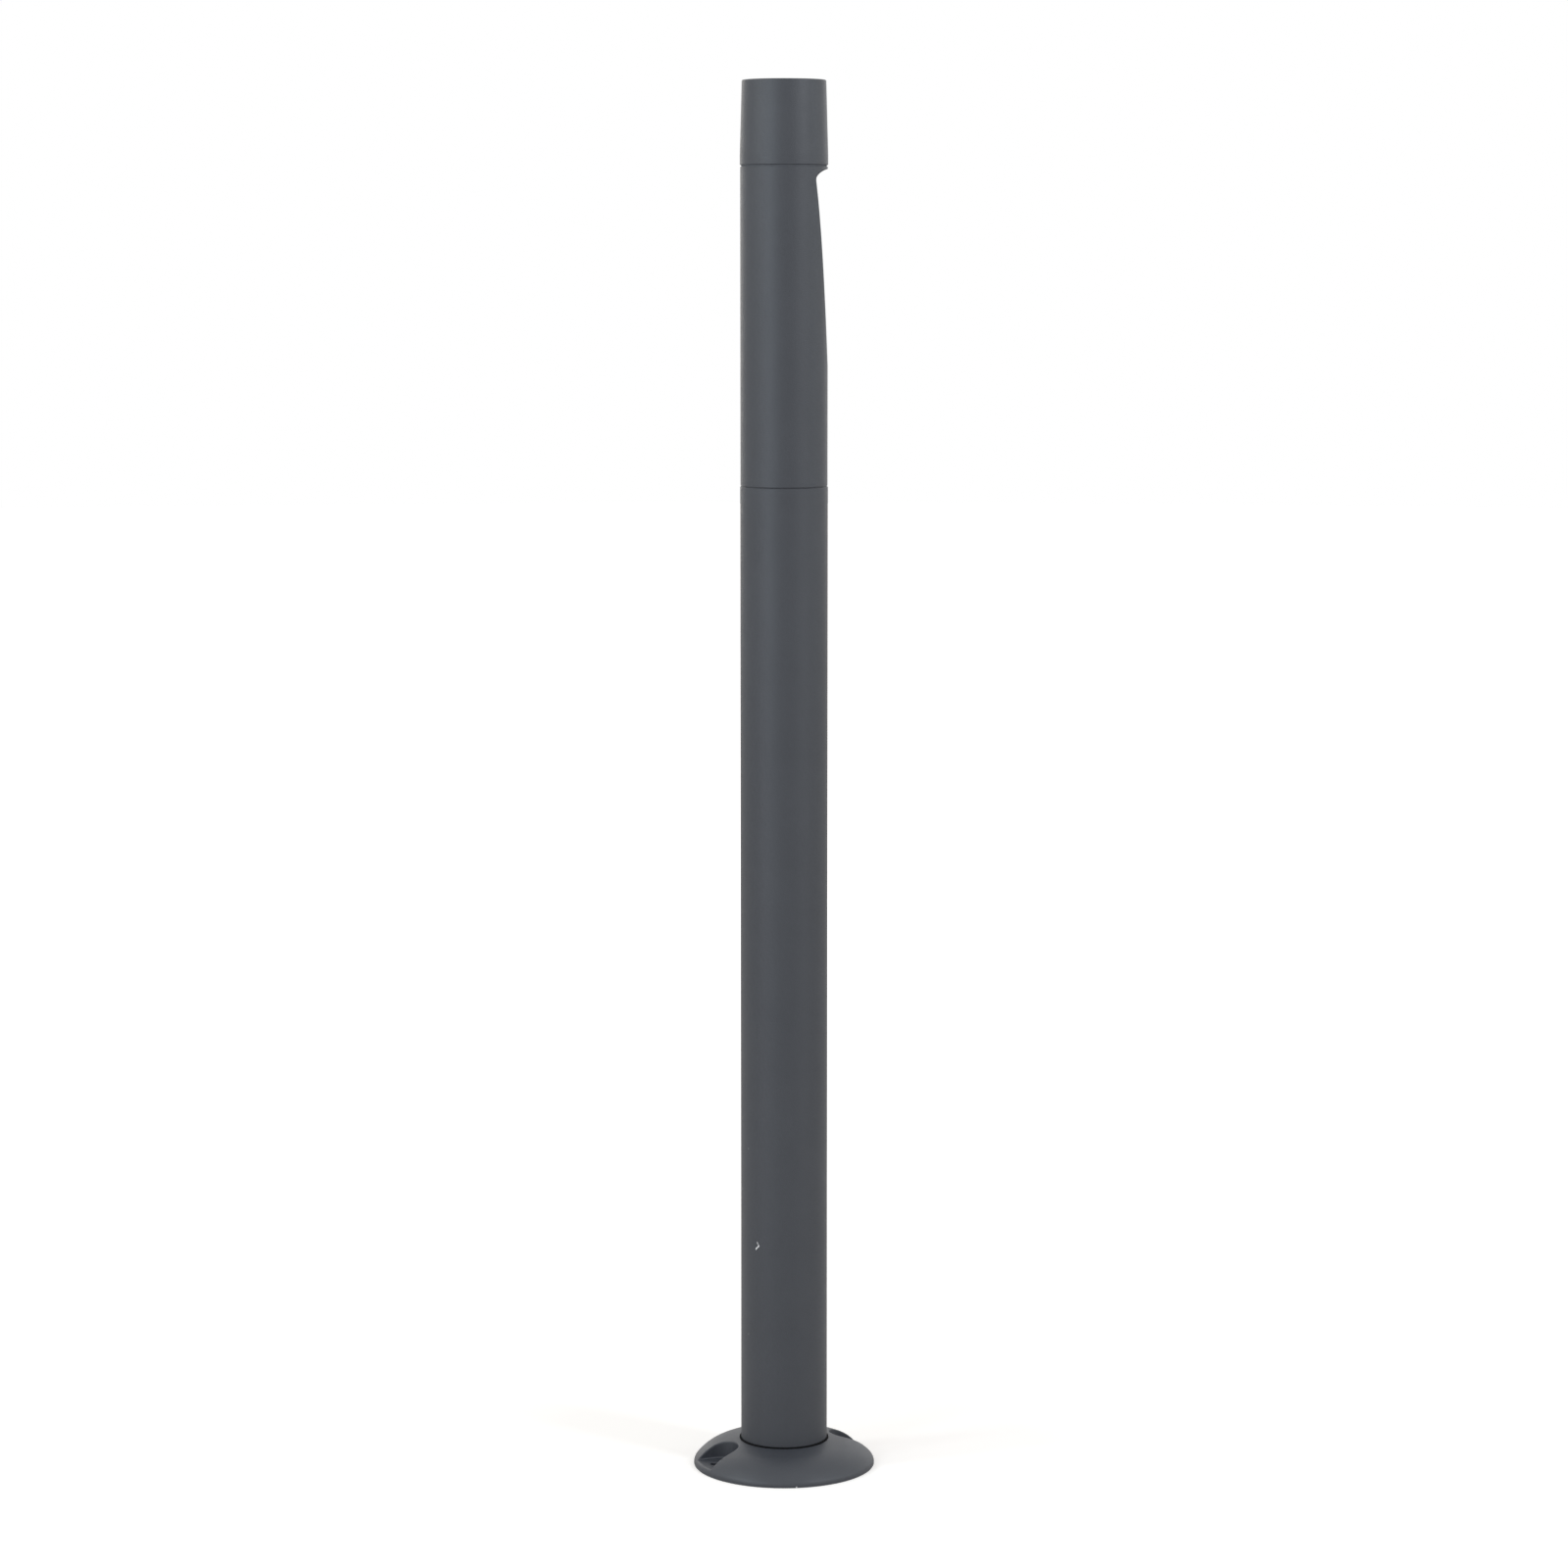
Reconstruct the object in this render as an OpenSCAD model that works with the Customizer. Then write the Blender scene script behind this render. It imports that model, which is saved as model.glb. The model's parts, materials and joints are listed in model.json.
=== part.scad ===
// Garden post light: a round post on a domed cast foot, with a lamp head whose
// scooped recess faces +X and is lit from a small round lens in its ceiling.
// Origin: centre of the foot's underside. +Z up, +X the way the light shines.

/* [Post] */
// Height from the ground to the top of the cap
total_h = 1000; // [900:5:1200]
// Outer diameter of the post tube
post_d = 62.6; // [62:0.1:66]
// Wall of the post tube
post_wall = 2.5; // [2:0.1:3.2]
// Small chamfer on the tube's upper rim
post_chamfer = 0.4; // [0.2:0.1:0.8]

/* [Foot] */
// Diameter of the foot
foot_d = 131.6; // [129:0.2:140]
// Height of the foot's upright rim
foot_rim_h = 3; // [2.4:0.2:3.6]
// Height of the crown where it meets the post
foot_crown_h = 19.4; // [18.6:0.2:21]
// Radius of the dome's shoulder
foot_shoulder_r = 35.2; // [33:0.2:38]
// Slope of the crown, in degrees
foot_crown_slope = 9.5; // [8.5:0.5:10.5]
// Wall of the casting at the rim
foot_wall = 3.6; // [3:0.2:4]
// Thickness of the web that carries the post
foot_web = 4.9; // [4:0.1:5.6]
// Depth of the ring groove that the post stands in
post_seat_depth = 2; // [1.5:0.1:2.5]
// Number of ribs under the dome
rib_count = 6; // [4:2:6]
// Thickness of each rib
rib_t = 3; // [2.5:0.5:4]
// Radius of the ring that the ribs spring from
rib_ring_r = 17; // [16:0.5:20]
// Gap between the ribs and the ground
rib_clear = 0.6; // [0.4:0.2:1.2]
// Radial clearance of the ring groove around the post
post_seat_clear = 0.3; // [0.2:0.1:0.5]

/* [Anchor pockets] */
// Circle on which the two anchor holes lie
anchor_pcd = 108; // [104:1:110]
// Anchor hole
anchor_hole_d = 7; // [6:0.5:9]
// Direction of the first pocket, in degrees from +X
pocket_angle = 22.8; // [15:0.2:30]
// Width of a pocket
pocket_w = 26; // [24:0.5:27]
// Distance from the axis to the pocket's round inner end
pocket_inner_r = 37; // [36:0.5:38.5]
// Thickness of the pocket's floor
pocket_floor = 5; // [4:0.2:6]
// Cast wall around each pocket
pocket_wall = 3; // [2.5:0.5:4]

/* [Lamp head] */
// Diameter of the head
head_d = 62; // [61.4:0.2:62.4]
// Wall of the head
head_wall = 2.8; // [2.4:0.1:3.2]
// Height of the head above the joint with the post
head_h = 225.3; // [215:0.5:240]
// Thickness of the flange that lies on the post
head_flange_t = 5; // [4:0.5:7]
// Thickness of the thin lip over the scoop
lip_t = 1.2; // [1:0.1:1.6]
// Thickness of the deck that closes the head
deck_t = 3.6; // [3.4:0.1:4.4]
// Height and depth of the shadow groove at the joint
joint_groove = 0.7; // [0.4:0.1:1]

/* [Scoop] */
// Radius of the scoop at its widest
scoop_r = 22.5; // [21.8:0.1:22.8]
// Distance of the scoop's centre from the head's axis
scoop_offset = 15; // [14.6:0.1:16]
// Fillet between the scoop's ceiling and its wall
scoop_fillet = 8.1; // [7:0.1:8.6]
// Lean of the scoop's axis away from the head, in degrees
scoop_lean = 9.1; // [8.7:0.1:9.6]
// Half of the scoop's cone angle, in degrees
scoop_half_angle = 7.7; // [7.4:0.1:8]
// Cast wall behind the scoop
scoop_wall = 2.4; // [2:0.1:2.8]

/* [Spigots] */
// Depth to which the head's spigot enters the post
head_spigot_l = 50; // [46:1:60]
// Height of the foot's spigot above its web
foot_spigot_l = 41; // [38:1:50]
// Wall of both spigots
spigot_wall = 4; // [3.8:0.1:4.4]
// Radial clearance of a spigot in the post
spigot_clear = 0.15; // [0.1:0.05:0.25]
// Radius at which the spigots' inner lugs stand
lug_reach = 21.5; // [21:0.1:22]
// Radius of a lug
lug_r = 4; // [3.6:0.1:4.2]
// Length of a lug
lug_l = 12; // [10:1:14]
// Cross-section diameter of the joint's seal ring
seal_d = 2.4; // [2:0.1:2.6]
// Distance of the seal ring below the joint
seal_drop = 10; // [8:1:16]
// Clearance of the seal ring in its groove
seal_clear = 0.05; // [0.05:0.05:0.15]

/* [Cap] */
// Height of the cap
cap_h = 59.4; // [54:0.2:66]
// Gap between head and cap, filled by the gasket
cap_gap = 1.3; // [1:0.1:1.6]
// Largest diameter of the cap
cap_d = 62.4; // [62:0.1:63]
// Straight land at the cap's lower edge
cap_land = 7; // [5:0.5:9]
// Taper of the cap, in degrees a side
cap_taper = 1.5; // [1:0.1:2]
// Radius of the cap's top edge
cap_edge_r = 1; // [0.6:0.2:1.6]
// Small chamfer on the cap's lower edge
cap_chamfer = 0.3; // [0.2:0.1:0.6]
// Thickness of the cap's roof
cap_roof = 3.2; // [2.8:0.2:4]
// Bore of the cap above its seat
cap_bore_d = 53.2; // [52.8:0.2:54]
// Height of the ring that the cap seats on
cap_spigot_l = 9; // [7:0.5:11]
// Wall of the ring that the cap seats on
cap_spigot_wall = 2.4; // [2:0.1:2.6]
// Radial clearance of the cap on that ring
cap_seat_clear = 0.2; // [0.1:0.05:0.3]
// How far the gasket lies back from the surface
gasket_recess = 0.7; // [0.5:0.1:1]
// Radius of the posts that the cap screws enter
cap_post_r = 3.6; // [3.4:0.1:4]
// Distance of these posts from the axis
cap_post_reach = 20.6; // [20.2:0.1:21]
// Thickness of the web between each post and the cap's wall
cap_web_t = 2.4; // [2:0.2:3]
// Radius of the two bosses that hold the carrier disc
carrier_boss_r = 3.6; // [3.2:0.1:4]
// Distance of these bosses from the axis
carrier_boss_reach = 20.6; // [20.2:0.1:21]

/* [Light source] */
// Distance of the lens from the head's axis
lens_offset = 11; // [10.8:0.1:11.2]
// Opening in the scoop's ceiling
window_d = 20.4; // [19:0.2:20.8]
// Thickness of the deck under the lens gasket
lens_ledge_t = 1.6; // [1.4:0.1:2]
// Clearance of the lens in its window and its pocket
lens_clear = 0.2; // [0.1:0.05:0.3]
// How far the lens lies back from the scoop's ceiling
lens_back = 0.3; // [0.2:0.1:0.6]
// Diameter of the lens flange
lens_d = 25; // [24.6:0.1:25.2]
// Thickness of the lens flange
lens_t = 2; // [1.6:0.1:2.4]
// Thickness of the lens gasket
lens_gasket_t = 0.8; // [0.6:0.1:1]
// Thickness of the ring that clamps the lens
lens_ring_t = 2; // [1.8:0.1:2.6]
// Radius of the ring's two screw ears
ring_ear_r = 3.1; // [2.9:0.1:3.3]
// Height of the reflector
reflector_h = 18.3; // [17:0.1:20]
// Wall of the reflector
reflector_wall = 1; // [0.8:0.1:1.2]
// Radius of the chip's round emitting field
emitter_r = 5; // [4:0.2:5.6]
// Side of the light-emitting chip
chip_w = 13.4; // [12.6:0.2:14]
// Thickness of the chip
chip_t = 1; // [0.8:0.1:1.4]
// Diameter of the circuit board
board_d = 25; // [24.4:0.2:25.6]
// Thickness of the circuit board
board_t = 1.6; // [1.2:0.1:2]
// Thickness of the thermal pad
pad_t = 0.5; // [0.4:0.1:0.8]
// Thickness of the aluminium carrier disc
carrier_t = 3; // [2.5:0.5:4]
// Clearance of the carrier disc in the cap
carrier_clear = 0.4; // [0.3:0.1:0.6]

/* [Driver and wiring] */
// Width of the driver
driver_w = 30; // [28:0.5:31]
// Depth of the driver
driver_t = 19; // [17:0.5:20]
// Height of the driver between its ears
driver_h = 96; // [80:1:100]
// Height of each of the driver's screw ears
driver_ear_h = 8; // [7:0.5:9]
// Thickness of the ears
driver_ear_t = 3; // [2:0.5:4]
// Height of the driver above the end of the head's spigot
driver_rise = 8; // [8:1:16]
// Distance of the driver's back from the axis
driver_back = 9; // [8:0.5:9.5]
// Width of the foot of the driver's bracket
strip_w = 20; // [18:1:22]
// Sheet thickness of both brackets
sheet_t = 2; // [1.5:0.1:2.2]
// Diameter of the low-voltage lead to the board
led_lead_d = 3.6; // [3:0.2:4]
// Diameter of the supply lead inside the post
supply_lead_d = 6.4; // [5.6:0.2:7]
// Diameter of the earth lead
earth_lead_d = 2.6; // [2:0.2:3]
// Height of the terminal block
terminal_h = 24; // [20:1:28]
// Number of poles in the terminal block
pole_count = 3; // [2:1:3]
// Width of the terminal block
terminal_w = 28; // [26:1:30]
// Depth of the terminal block
terminal_t = 15; // [14:0.5:16]
// Distance of the block's back from the axis
terminal_back = 9; // [8.5:0.5:10]
// Height of the block above the foot's spigot
terminal_rise = 10; // [8:1:16]
// Radius of the wire passages
passage_r = 2.4; // [2.2:0.1:2.6]
// Length of the wire passages
passage_l = 7; // [6:0.5:8]
// Radius of the screw wells
well_r = 2.2; // [2.1:0.1:2.5]
// Depth of the screw wells
well_l = 5; // [4.4:0.2:5.6]
// Distance of the screw wells from the block's ends
well_inset = 4.4; // [4:0.2:5]
// Thickness of the earth tag's sheet
tag_t = 1; // [0.8:0.1:1.2]
// Radius of the earth tag's ring
tag_r = 3.6; // [3.2:0.1:4]
// Distance from the tag's screw to the end of its barrel
tag_l = 14; // [13:0.5:15]
// Radius of the lead's hole through the head's deck
grommet_hole_r = 4; // [3.6:0.1:4.2]

/* [Cable gland] */
// Thread diameter of the gland
gland_d = 20; // [19:0.5:21]
// Width of the gland's hexagons across flats
gland_af = 24; // [23.5:0.5:25]
// Bore of the gland's rubber seal
gland_bore_d = 10.5; // [9:0.5:12]
// Thickness of the gland's hexagon
gland_hex_t = 5; // [4:0.5:6]
// Length of thread under the web
gland_thread_l = 6; // [5:0.5:6.5]
// Height of the neck that holds the seal
gland_neck_h = 9; // [8:0.5:11]
// Wall of the neck
gland_neck_wall = 1; // [0.8:0.1:1.2]
// Height of the locknut
gland_nut_h = 4.6; // [4:0.2:5]

/* [Fasteners] */
// Shank of the countersunk screws that hold head and foot in the post
post_screw_d = 4; // [3.5:0.1:4.4]
// Shank of the cap screws
cap_screw_d = 4; // [3.5:0.1:4.2]
// Shank of the small inner screws
small_screw_d = 3; // [2.6:0.1:3.2]
// Clearance around a screw shank
screw_clear = 0.2; // [0.1:0.05:0.3]
// Clearance of a shank in the hole that it grips
thread_clear = 0.05; // [0.05:0.05:0.1]
// How far a screw's end stays back from the end of its hole
screw_end_gap = 0.4; // [0.2:0.1:0.8]
// Distance of the upper post screws below the joint
head_screw_drop = 30; // [24:1:34]
// Height of the lower post screws above the end of the post
foot_screw_rise = 21; // [18:1:25]
// How far a cap screw enters its post
cap_screw_grip = 12; // [8:1:14]
// How far a carrier screw enters its boss
boss_screw_grip = 7; // [5:1:9]

/* [Hidden] */
$fn = 96;
// Overrun of a cut past the face that it opens
eps = 1;

// Radii of the main forms
post_r = post_d / 2;
post_bore_r = post_r - post_wall;
head_r = head_d / 2;
cap_r = cap_d / 2;
foot_r = foot_d / 2;
spigot_r = post_bore_r - spigot_clear;
spigot_bore_r = spigot_r - spigot_wall;
head_bore_r = head_r - head_wall;
lens_r = lens_d / 2;
window_r = window_d / 2;
board_r = board_d / 2;

// Heights of the main seams, counted down from the top
cap_z = total_h - cap_h;
head_top_z = cap_z - cap_gap;
joint_z = head_top_z - head_h;
ceiling_z = head_top_z - lip_t;
deck_z = ceiling_z + deck_t;
spigot_end_z = joint_z - head_spigot_l;

// Foot: the shoulder's arc touches the crown's slope and ends at the rim's top edge
crown_down = [cos(foot_crown_slope), -sin(foot_crown_slope)];
crown_up = [sin(foot_crown_slope), cos(foot_crown_slope)];
rim_corner = [foot_r, foot_rim_h];
arc_start = [post_r, foot_crown_h] - foot_shoulder_r * crown_up;
arc_gap = arc_start - rim_corner;
arc_run = -(arc_gap * crown_down)
  - sqrt(pow(arc_gap * crown_down, 2) - arc_gap * arc_gap + pow(foot_shoulder_r, 2));
arc_centre = arc_start + arc_run * crown_down;
arc_touch = arc_centre + foot_shoulder_r * crown_up;
crown_axis_h = foot_crown_h + post_r * tan(foot_crown_slope);
post_foot_z = foot_crown_h - post_seat_depth;
foot_deck_z = post_foot_z - foot_web;
foot_spigot_top_z = post_foot_z + foot_spigot_l;
anchor_r = anchor_pcd / 2;

// Scoop: a leaning cone that runs out of a ball, with a filleted flat ceiling. The cone
// ends just short of its point, which lies outside the head.
scoop_belt_z = ceiling_z - scoop_fillet;
cone_l = 0.98 * scoop_r / sin(scoop_half_angle);
cone_inset = 0.02;

// Cap: its inside and the posts that its screws enter
cap_seat_r = head_r - head_wall - cap_seat_clear;
cap_bore_r = cap_bore_d / 2;
cap_roof_z = total_h - cap_roof;
cap_bore_z = head_top_z + cap_spigot_l + eps;
cap_post_angles = [108, 180, 252];

// Light source: each piece lies on the one below it
lens_seat_z = ceiling_z + lens_ledge_t;
lens_flange_z = lens_seat_z + lens_gasket_t;
lens_ring_z = lens_flange_z + lens_t;
lens_pocket_r = lens_r + lens_clear;
lens_ring_r = lens_pocket_r + 1;
ring_hole_l = deck_t - 1;
reflector_z = lens_ring_z + lens_ring_t;
chip_z = reflector_z + reflector_h;
board_z = chip_z + chip_t;
pad_z = board_z + board_t;
carrier_z = pad_z + pad_t;
carrier_top_z = carrier_z + carrier_t;
emitter_t = 0.2;
board_screw_reach = board_r - 3;
carrier_boss_angles = [-66, 66];
ring_ear_reach = lens_ring_r + 3;

// Lugs inside the spigots
head_lug_angles = [140, 320];
foot_lug_angles = [50, 130];
earth_lug_angle = 270;
bracket_turn = -40;
lug_bore_r = small_screw_d / 2 + thread_clear;
lug_hole_l = lug_l - 2;
lug_screw_grip = lug_hole_l - 2;

// Wiring
grommet_reach = 20;
grommet_angle = 146;
lead_clear = 0.3;
barrel_r = earth_lead_d / 2 + 0.6;

// Screws that hold the head and the foot in the post, on the side away from the front
post_screw_angles = [65, 115];
post_screw_sink = 0.35;
head_screw_z = joint_z - head_screw_drop;
foot_screw_z = post_foot_z + foot_screw_rise;
seal_z = joint_z - seal_drop;
seal_ring_r = post_bore_r - seal_clear - seal_d / 2;

// Driver, terminal block and gland
driver_z = spigot_end_z + driver_rise;
driver_top_z = driver_z + driver_h + 2 * driver_ear_h;
driver_hole_zs = [driver_z + driver_ear_h / 2, driver_top_z - driver_ear_h / 2];
terminal_z = foot_spigot_top_z + terminal_rise;
pole_pitch = terminal_w / pole_count;
well_zs = [terminal_z + well_inset, terminal_z + terminal_h - well_inset];
gland_corner_r = gland_af / sqrt(3);
gland_neck_r = gland_d / 2 - 1.2;
gland_neck_z = post_foot_z + gland_hex_t;
gland_wire_r = gland_bore_d / 2 + 1;

// A ring of rectangular section
module ring(r_out, r_in, z, h) {
  translate([0, 0, z]) difference() {
    cylinder(r = r_out, h = h);
    translate([0, 0, -eps]) cylinder(r = r_in, h = h + 2 * eps);
  }
}

// Holes that the post screws grip in a spigot
module spigot_screw_holes(z) {
  for (angle = post_screw_angles) at_polar(angle, spigot_bore_r - eps, z) rotate([0, 90, 0])
    cylinder(r = post_screw_d / 2 + thread_clear, h = spigot_wall + 2 * eps);
}

// Child moved to a polar place and turned with it
module at_polar(angle, reach, z = 0) {
  rotate([0, 0, angle]) translate([reach, 0, z]) children();
}

// Pan-head screw: its head's seat is at z = 0 and its shank goes up
module pan_screw(d, grip) {
  pan_r = d * 0.85;
  pan_t = d * 0.6;
  difference() {
    union() {
      cylinder(r = d / 2, h = grip);
      translate([0, 0, -pan_t]) cylinder(r1 = pan_r * 0.82, r2 = pan_r, h = pan_t);
    }
    translate([0, 0, -pan_t - eps]) cylinder(r = d * 0.3, h = eps + pan_t * 0.6, $fn = 6);
  }
}

// Form of a countersunk screw, grown by a clearance: its flat top is at z = 0 and its
// shank goes down
module countersunk_form(d, grip, grow) {
  top_r = d * 0.92;
  rim_t = d * 0.05;
  cone_t = d * 0.45;
  translate([0, 0, -grip]) cylinder(r = d / 2 + grow, h = grip);
  translate([0, 0, -rim_t - cone_t]) cylinder(r1 = d / 2 + grow, r2 = top_r + grow, h = cone_t);
  translate([0, 0, -rim_t]) cylinder(r = top_r + grow, h = rim_t + (grow > 0 ? eps * 3 : 0));
}

// Countersunk screw with a hexagon socket
module countersunk_screw(d, grip) {
  difference() {
    countersunk_form(d, grip, 0);
    translate([0, 0, -d * 0.42]) cylinder(r = d * 0.32, h = d, $fn = 6);
  }
}

// Points of a smooth curve through hand-picked points
function spline_point(a, b, c, d, t) =
  0.5 * (2 * b + (c - a) * t + (2 * a - 5 * b + 4 * c - d) * t * t
  + (3 * b - a - 3 * c + d) * t * t * t);
function spline(points, steps) = [
  for (i = [0 : len(points) - 2]) for (k = [0 : steps - 1])
    spline_point(
      points[max(i - 1, 0)], points[i], points[i + 1],
      points[min(i + 2, len(points) - 1)], k / steps),
  points[len(points) - 1]
];
function unit(v) = v / norm(v);

// Round lead swept along a smooth curve, its rings kept square to the path
module lead(points, d, steps, side_hint) {
  sides = 8;
  path = spline(points, steps);
  n = len(path);
  last = len(points) - 1;
  tangents = [
    unit(points[1] - points[0]),
    for (i = [1 : n - 2]) unit(path[i + 1] - path[i - 1]),
    unit(points[last] - points[last - 1])
  ];
  rings = [
    for (i = [0 : n - 1])
      let (u = unit(cross(tangents[i], side_hint)), v = cross(tangents[i], u))
        for (j = [0 : sides - 1])
          path[i] + d / 2 * (cos(j * 360 / sides) * u + sin(j * 360 / sides) * v)
  ];
  walls = [
    for (i = [0 : n - 2]) for (j = [0 : sides - 1])
      let (
        a = i * sides + j, b = i * sides + (j + 1) % sides,
        c = a + sides, e = b + sides
      ) each [[a, e, b], [a, c, e]]
  ];
  start_cap = [for (j = [0 : sides - 1]) j];
  end_cap = [for (j = [sides - 1 : -1 : 0]) (n - 1) * sides + j];
  polyhedron(points = rings, faces = concat([start_cap, end_cap], walls));
}

// Outer form of the foot: rim, shoulder arc and sloping crown, turned about the axis
module foot_dome() {
  rotate_extrude() intersection() {
    square([foot_r, crown_axis_h]);
    union() {
      translate(arc_centre) circle(r = foot_shoulder_r, $fn = 180);
      polygon([
        [0, 0], [arc_touch[0], 0], arc_touch, [0, crown_axis_h]
      ]);
    }
  }
}

// Plan of an anchor pocket: round inner end, open outwards
module pocket_plan(grow) {
  end_r = pocket_w / 2;
  translate([pocket_inner_r + end_r, 0]) circle(r = end_r + grow);
  translate([pocket_inner_r + end_r, -end_r - grow]) square([foot_r, pocket_w + 2 * grow]);
}

// The cast foot: hollow underneath, with ribs, anchor pockets, a groove for the post
// and a spigot that enters it
module foot() {
  color("#4b4d51") difference() {
    union() {
      difference() {
        foot_dome();
        foot_hollow();
      }
      intersection() {
        foot_dome();
        union() {
          foot_ribs();
          for (turn = [0, 180]) rotate([0, 0, pocket_angle + turn])
            translate([0, 0, -eps]) linear_extrude(crown_axis_h + 2 * eps) pocket_plan(pocket_wall);
        }
      }
      ring(spigot_r, spigot_bore_r, foot_deck_z + eps, foot_spigot_top_z - foot_deck_z - eps);
      for (angle = concat(foot_lug_angles, [earth_lug_angle]))
        at_polar(angle, lug_reach, foot_spigot_top_z - lug_l) cylinder(r = lug_r, h = lug_l);
    }
    // Groove for the post
    ring(post_r + post_seat_clear, spigot_r, post_foot_z, post_seat_depth * 3);
    // Anything of the crown that rises inside the spigot
    translate([0, 0, post_foot_z]) cylinder(r = spigot_bore_r, h = foot_spigot_l - lug_l);
    for (turn = [0, 180]) rotate([0, 0, pocket_angle + turn]) {
      translate([0, 0, pocket_floor]) linear_extrude(crown_axis_h) pocket_plan(0);
      translate([anchor_r, 0, -eps]) cylinder(d = anchor_hole_d, h = pocket_floor + 2 * eps);
    }
    // Cable hole, lug bores and post screw holes
    translate([0, 0, foot_deck_z - eps]) cylinder(r = gland_d / 2 + 0.1, h = foot_web + 2 * eps);
    for (angle = concat(foot_lug_angles, [earth_lug_angle]))
      at_polar(angle, lug_reach, foot_spigot_top_z - lug_hole_l)
        cylinder(r = lug_bore_r, h = lug_l);
    spigot_screw_holes(foot_screw_z);
  }
}

// Hollow under the dome, which keeps an even wall
module foot_hollow() {
  hollow_r = foot_r - foot_wall;
  translate([0, 0, -eps]) rotate_extrude() intersection() {
    square([hollow_r, foot_deck_z + eps]);
    union() {
      translate(arc_centre + [0, eps]) circle(r = foot_shoulder_r - foot_wall, $fn = 180);
      square([arc_centre[0], foot_deck_z + eps]);
    }
  }
}

// Radial ribs between the web and the rim, and the ring that they spring from
module foot_ribs() {
  step = 360 / (rib_count + 2);
  for (i = [1 : rib_count / 2], side = [0, 180])
    rotate([0, 0, pocket_angle + side + i * step])
      translate([rib_ring_r, -rib_t / 2, rib_clear])
        cube([foot_r - rib_ring_r - foot_wall / 2, rib_t, foot_deck_z]);
  ring(rib_ring_r + rib_t, rib_ring_r, rib_clear, foot_deck_z);
}

// The extruded post, drilled for its screws on the side away from the front
module post_tube() {
  color("#46494e") difference() {
    union() {
      translate([0, 0, post_foot_z]) cylinder(r = post_r, h = joint_z - post_foot_z - post_chamfer);
      translate([0, 0, joint_z - post_chamfer])
        cylinder(r1 = post_r, r2 = post_r - post_chamfer, h = post_chamfer);
    }
    translate([0, 0, post_foot_z - eps]) cylinder(r = post_bore_r, h = joint_z);
    post_screw_places() countersunk_form(post_screw_d, post_wall + eps, screw_clear);
  }
}

// Places of the screws through the post, each with its flat top just under the surface
module post_screw_places() {
  for (z = [foot_screw_z, head_screw_z], angle = post_screw_angles)
    at_polar(angle, post_r - post_screw_sink, z) rotate([0, 90, 0]) children();
}

module post_screws() {
  color("#3c3e42") post_screw_places()
    countersunk_screw(post_screw_d, post_wall + spigot_clear + spigot_wall - screw_end_gap);
}

// The form that the scoop takes away, or with grow the back of the wall around it
module scoop_form(grow) {
  r = scoop_r + grow;
  touch_r = r * cos(scoop_half_angle);
  touch_s = r * sin(scoop_half_angle);
  translate([scoop_offset, 0, scoop_belt_z]) {
    // Ceiling and its fillet
    cylinder(r = scoop_r - scoop_fillet, h = scoop_fillet + grow);
    intersection() {
      rotate_extrude() translate([scoop_r - scoop_fillet, 0]) circle(r = scoop_fillet + grow);
      cylinder(r = r + eps, h = r);
    }
    // Ball and leaning cone
    intersection() {
      sphere(r = r);
      translate([0, 0, -r]) cylinder(r = r + eps, h = r);
    }
    rotate([0, 180 - scoop_lean, 0]) translate([0, 0, touch_s])
      cylinder(
        r1 = touch_r - cone_inset,
        r2 = touch_r - cone_inset - (cone_l - touch_s) * tan(scoop_half_angle),
        h = cone_l - touch_s
      );
  }
}

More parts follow.
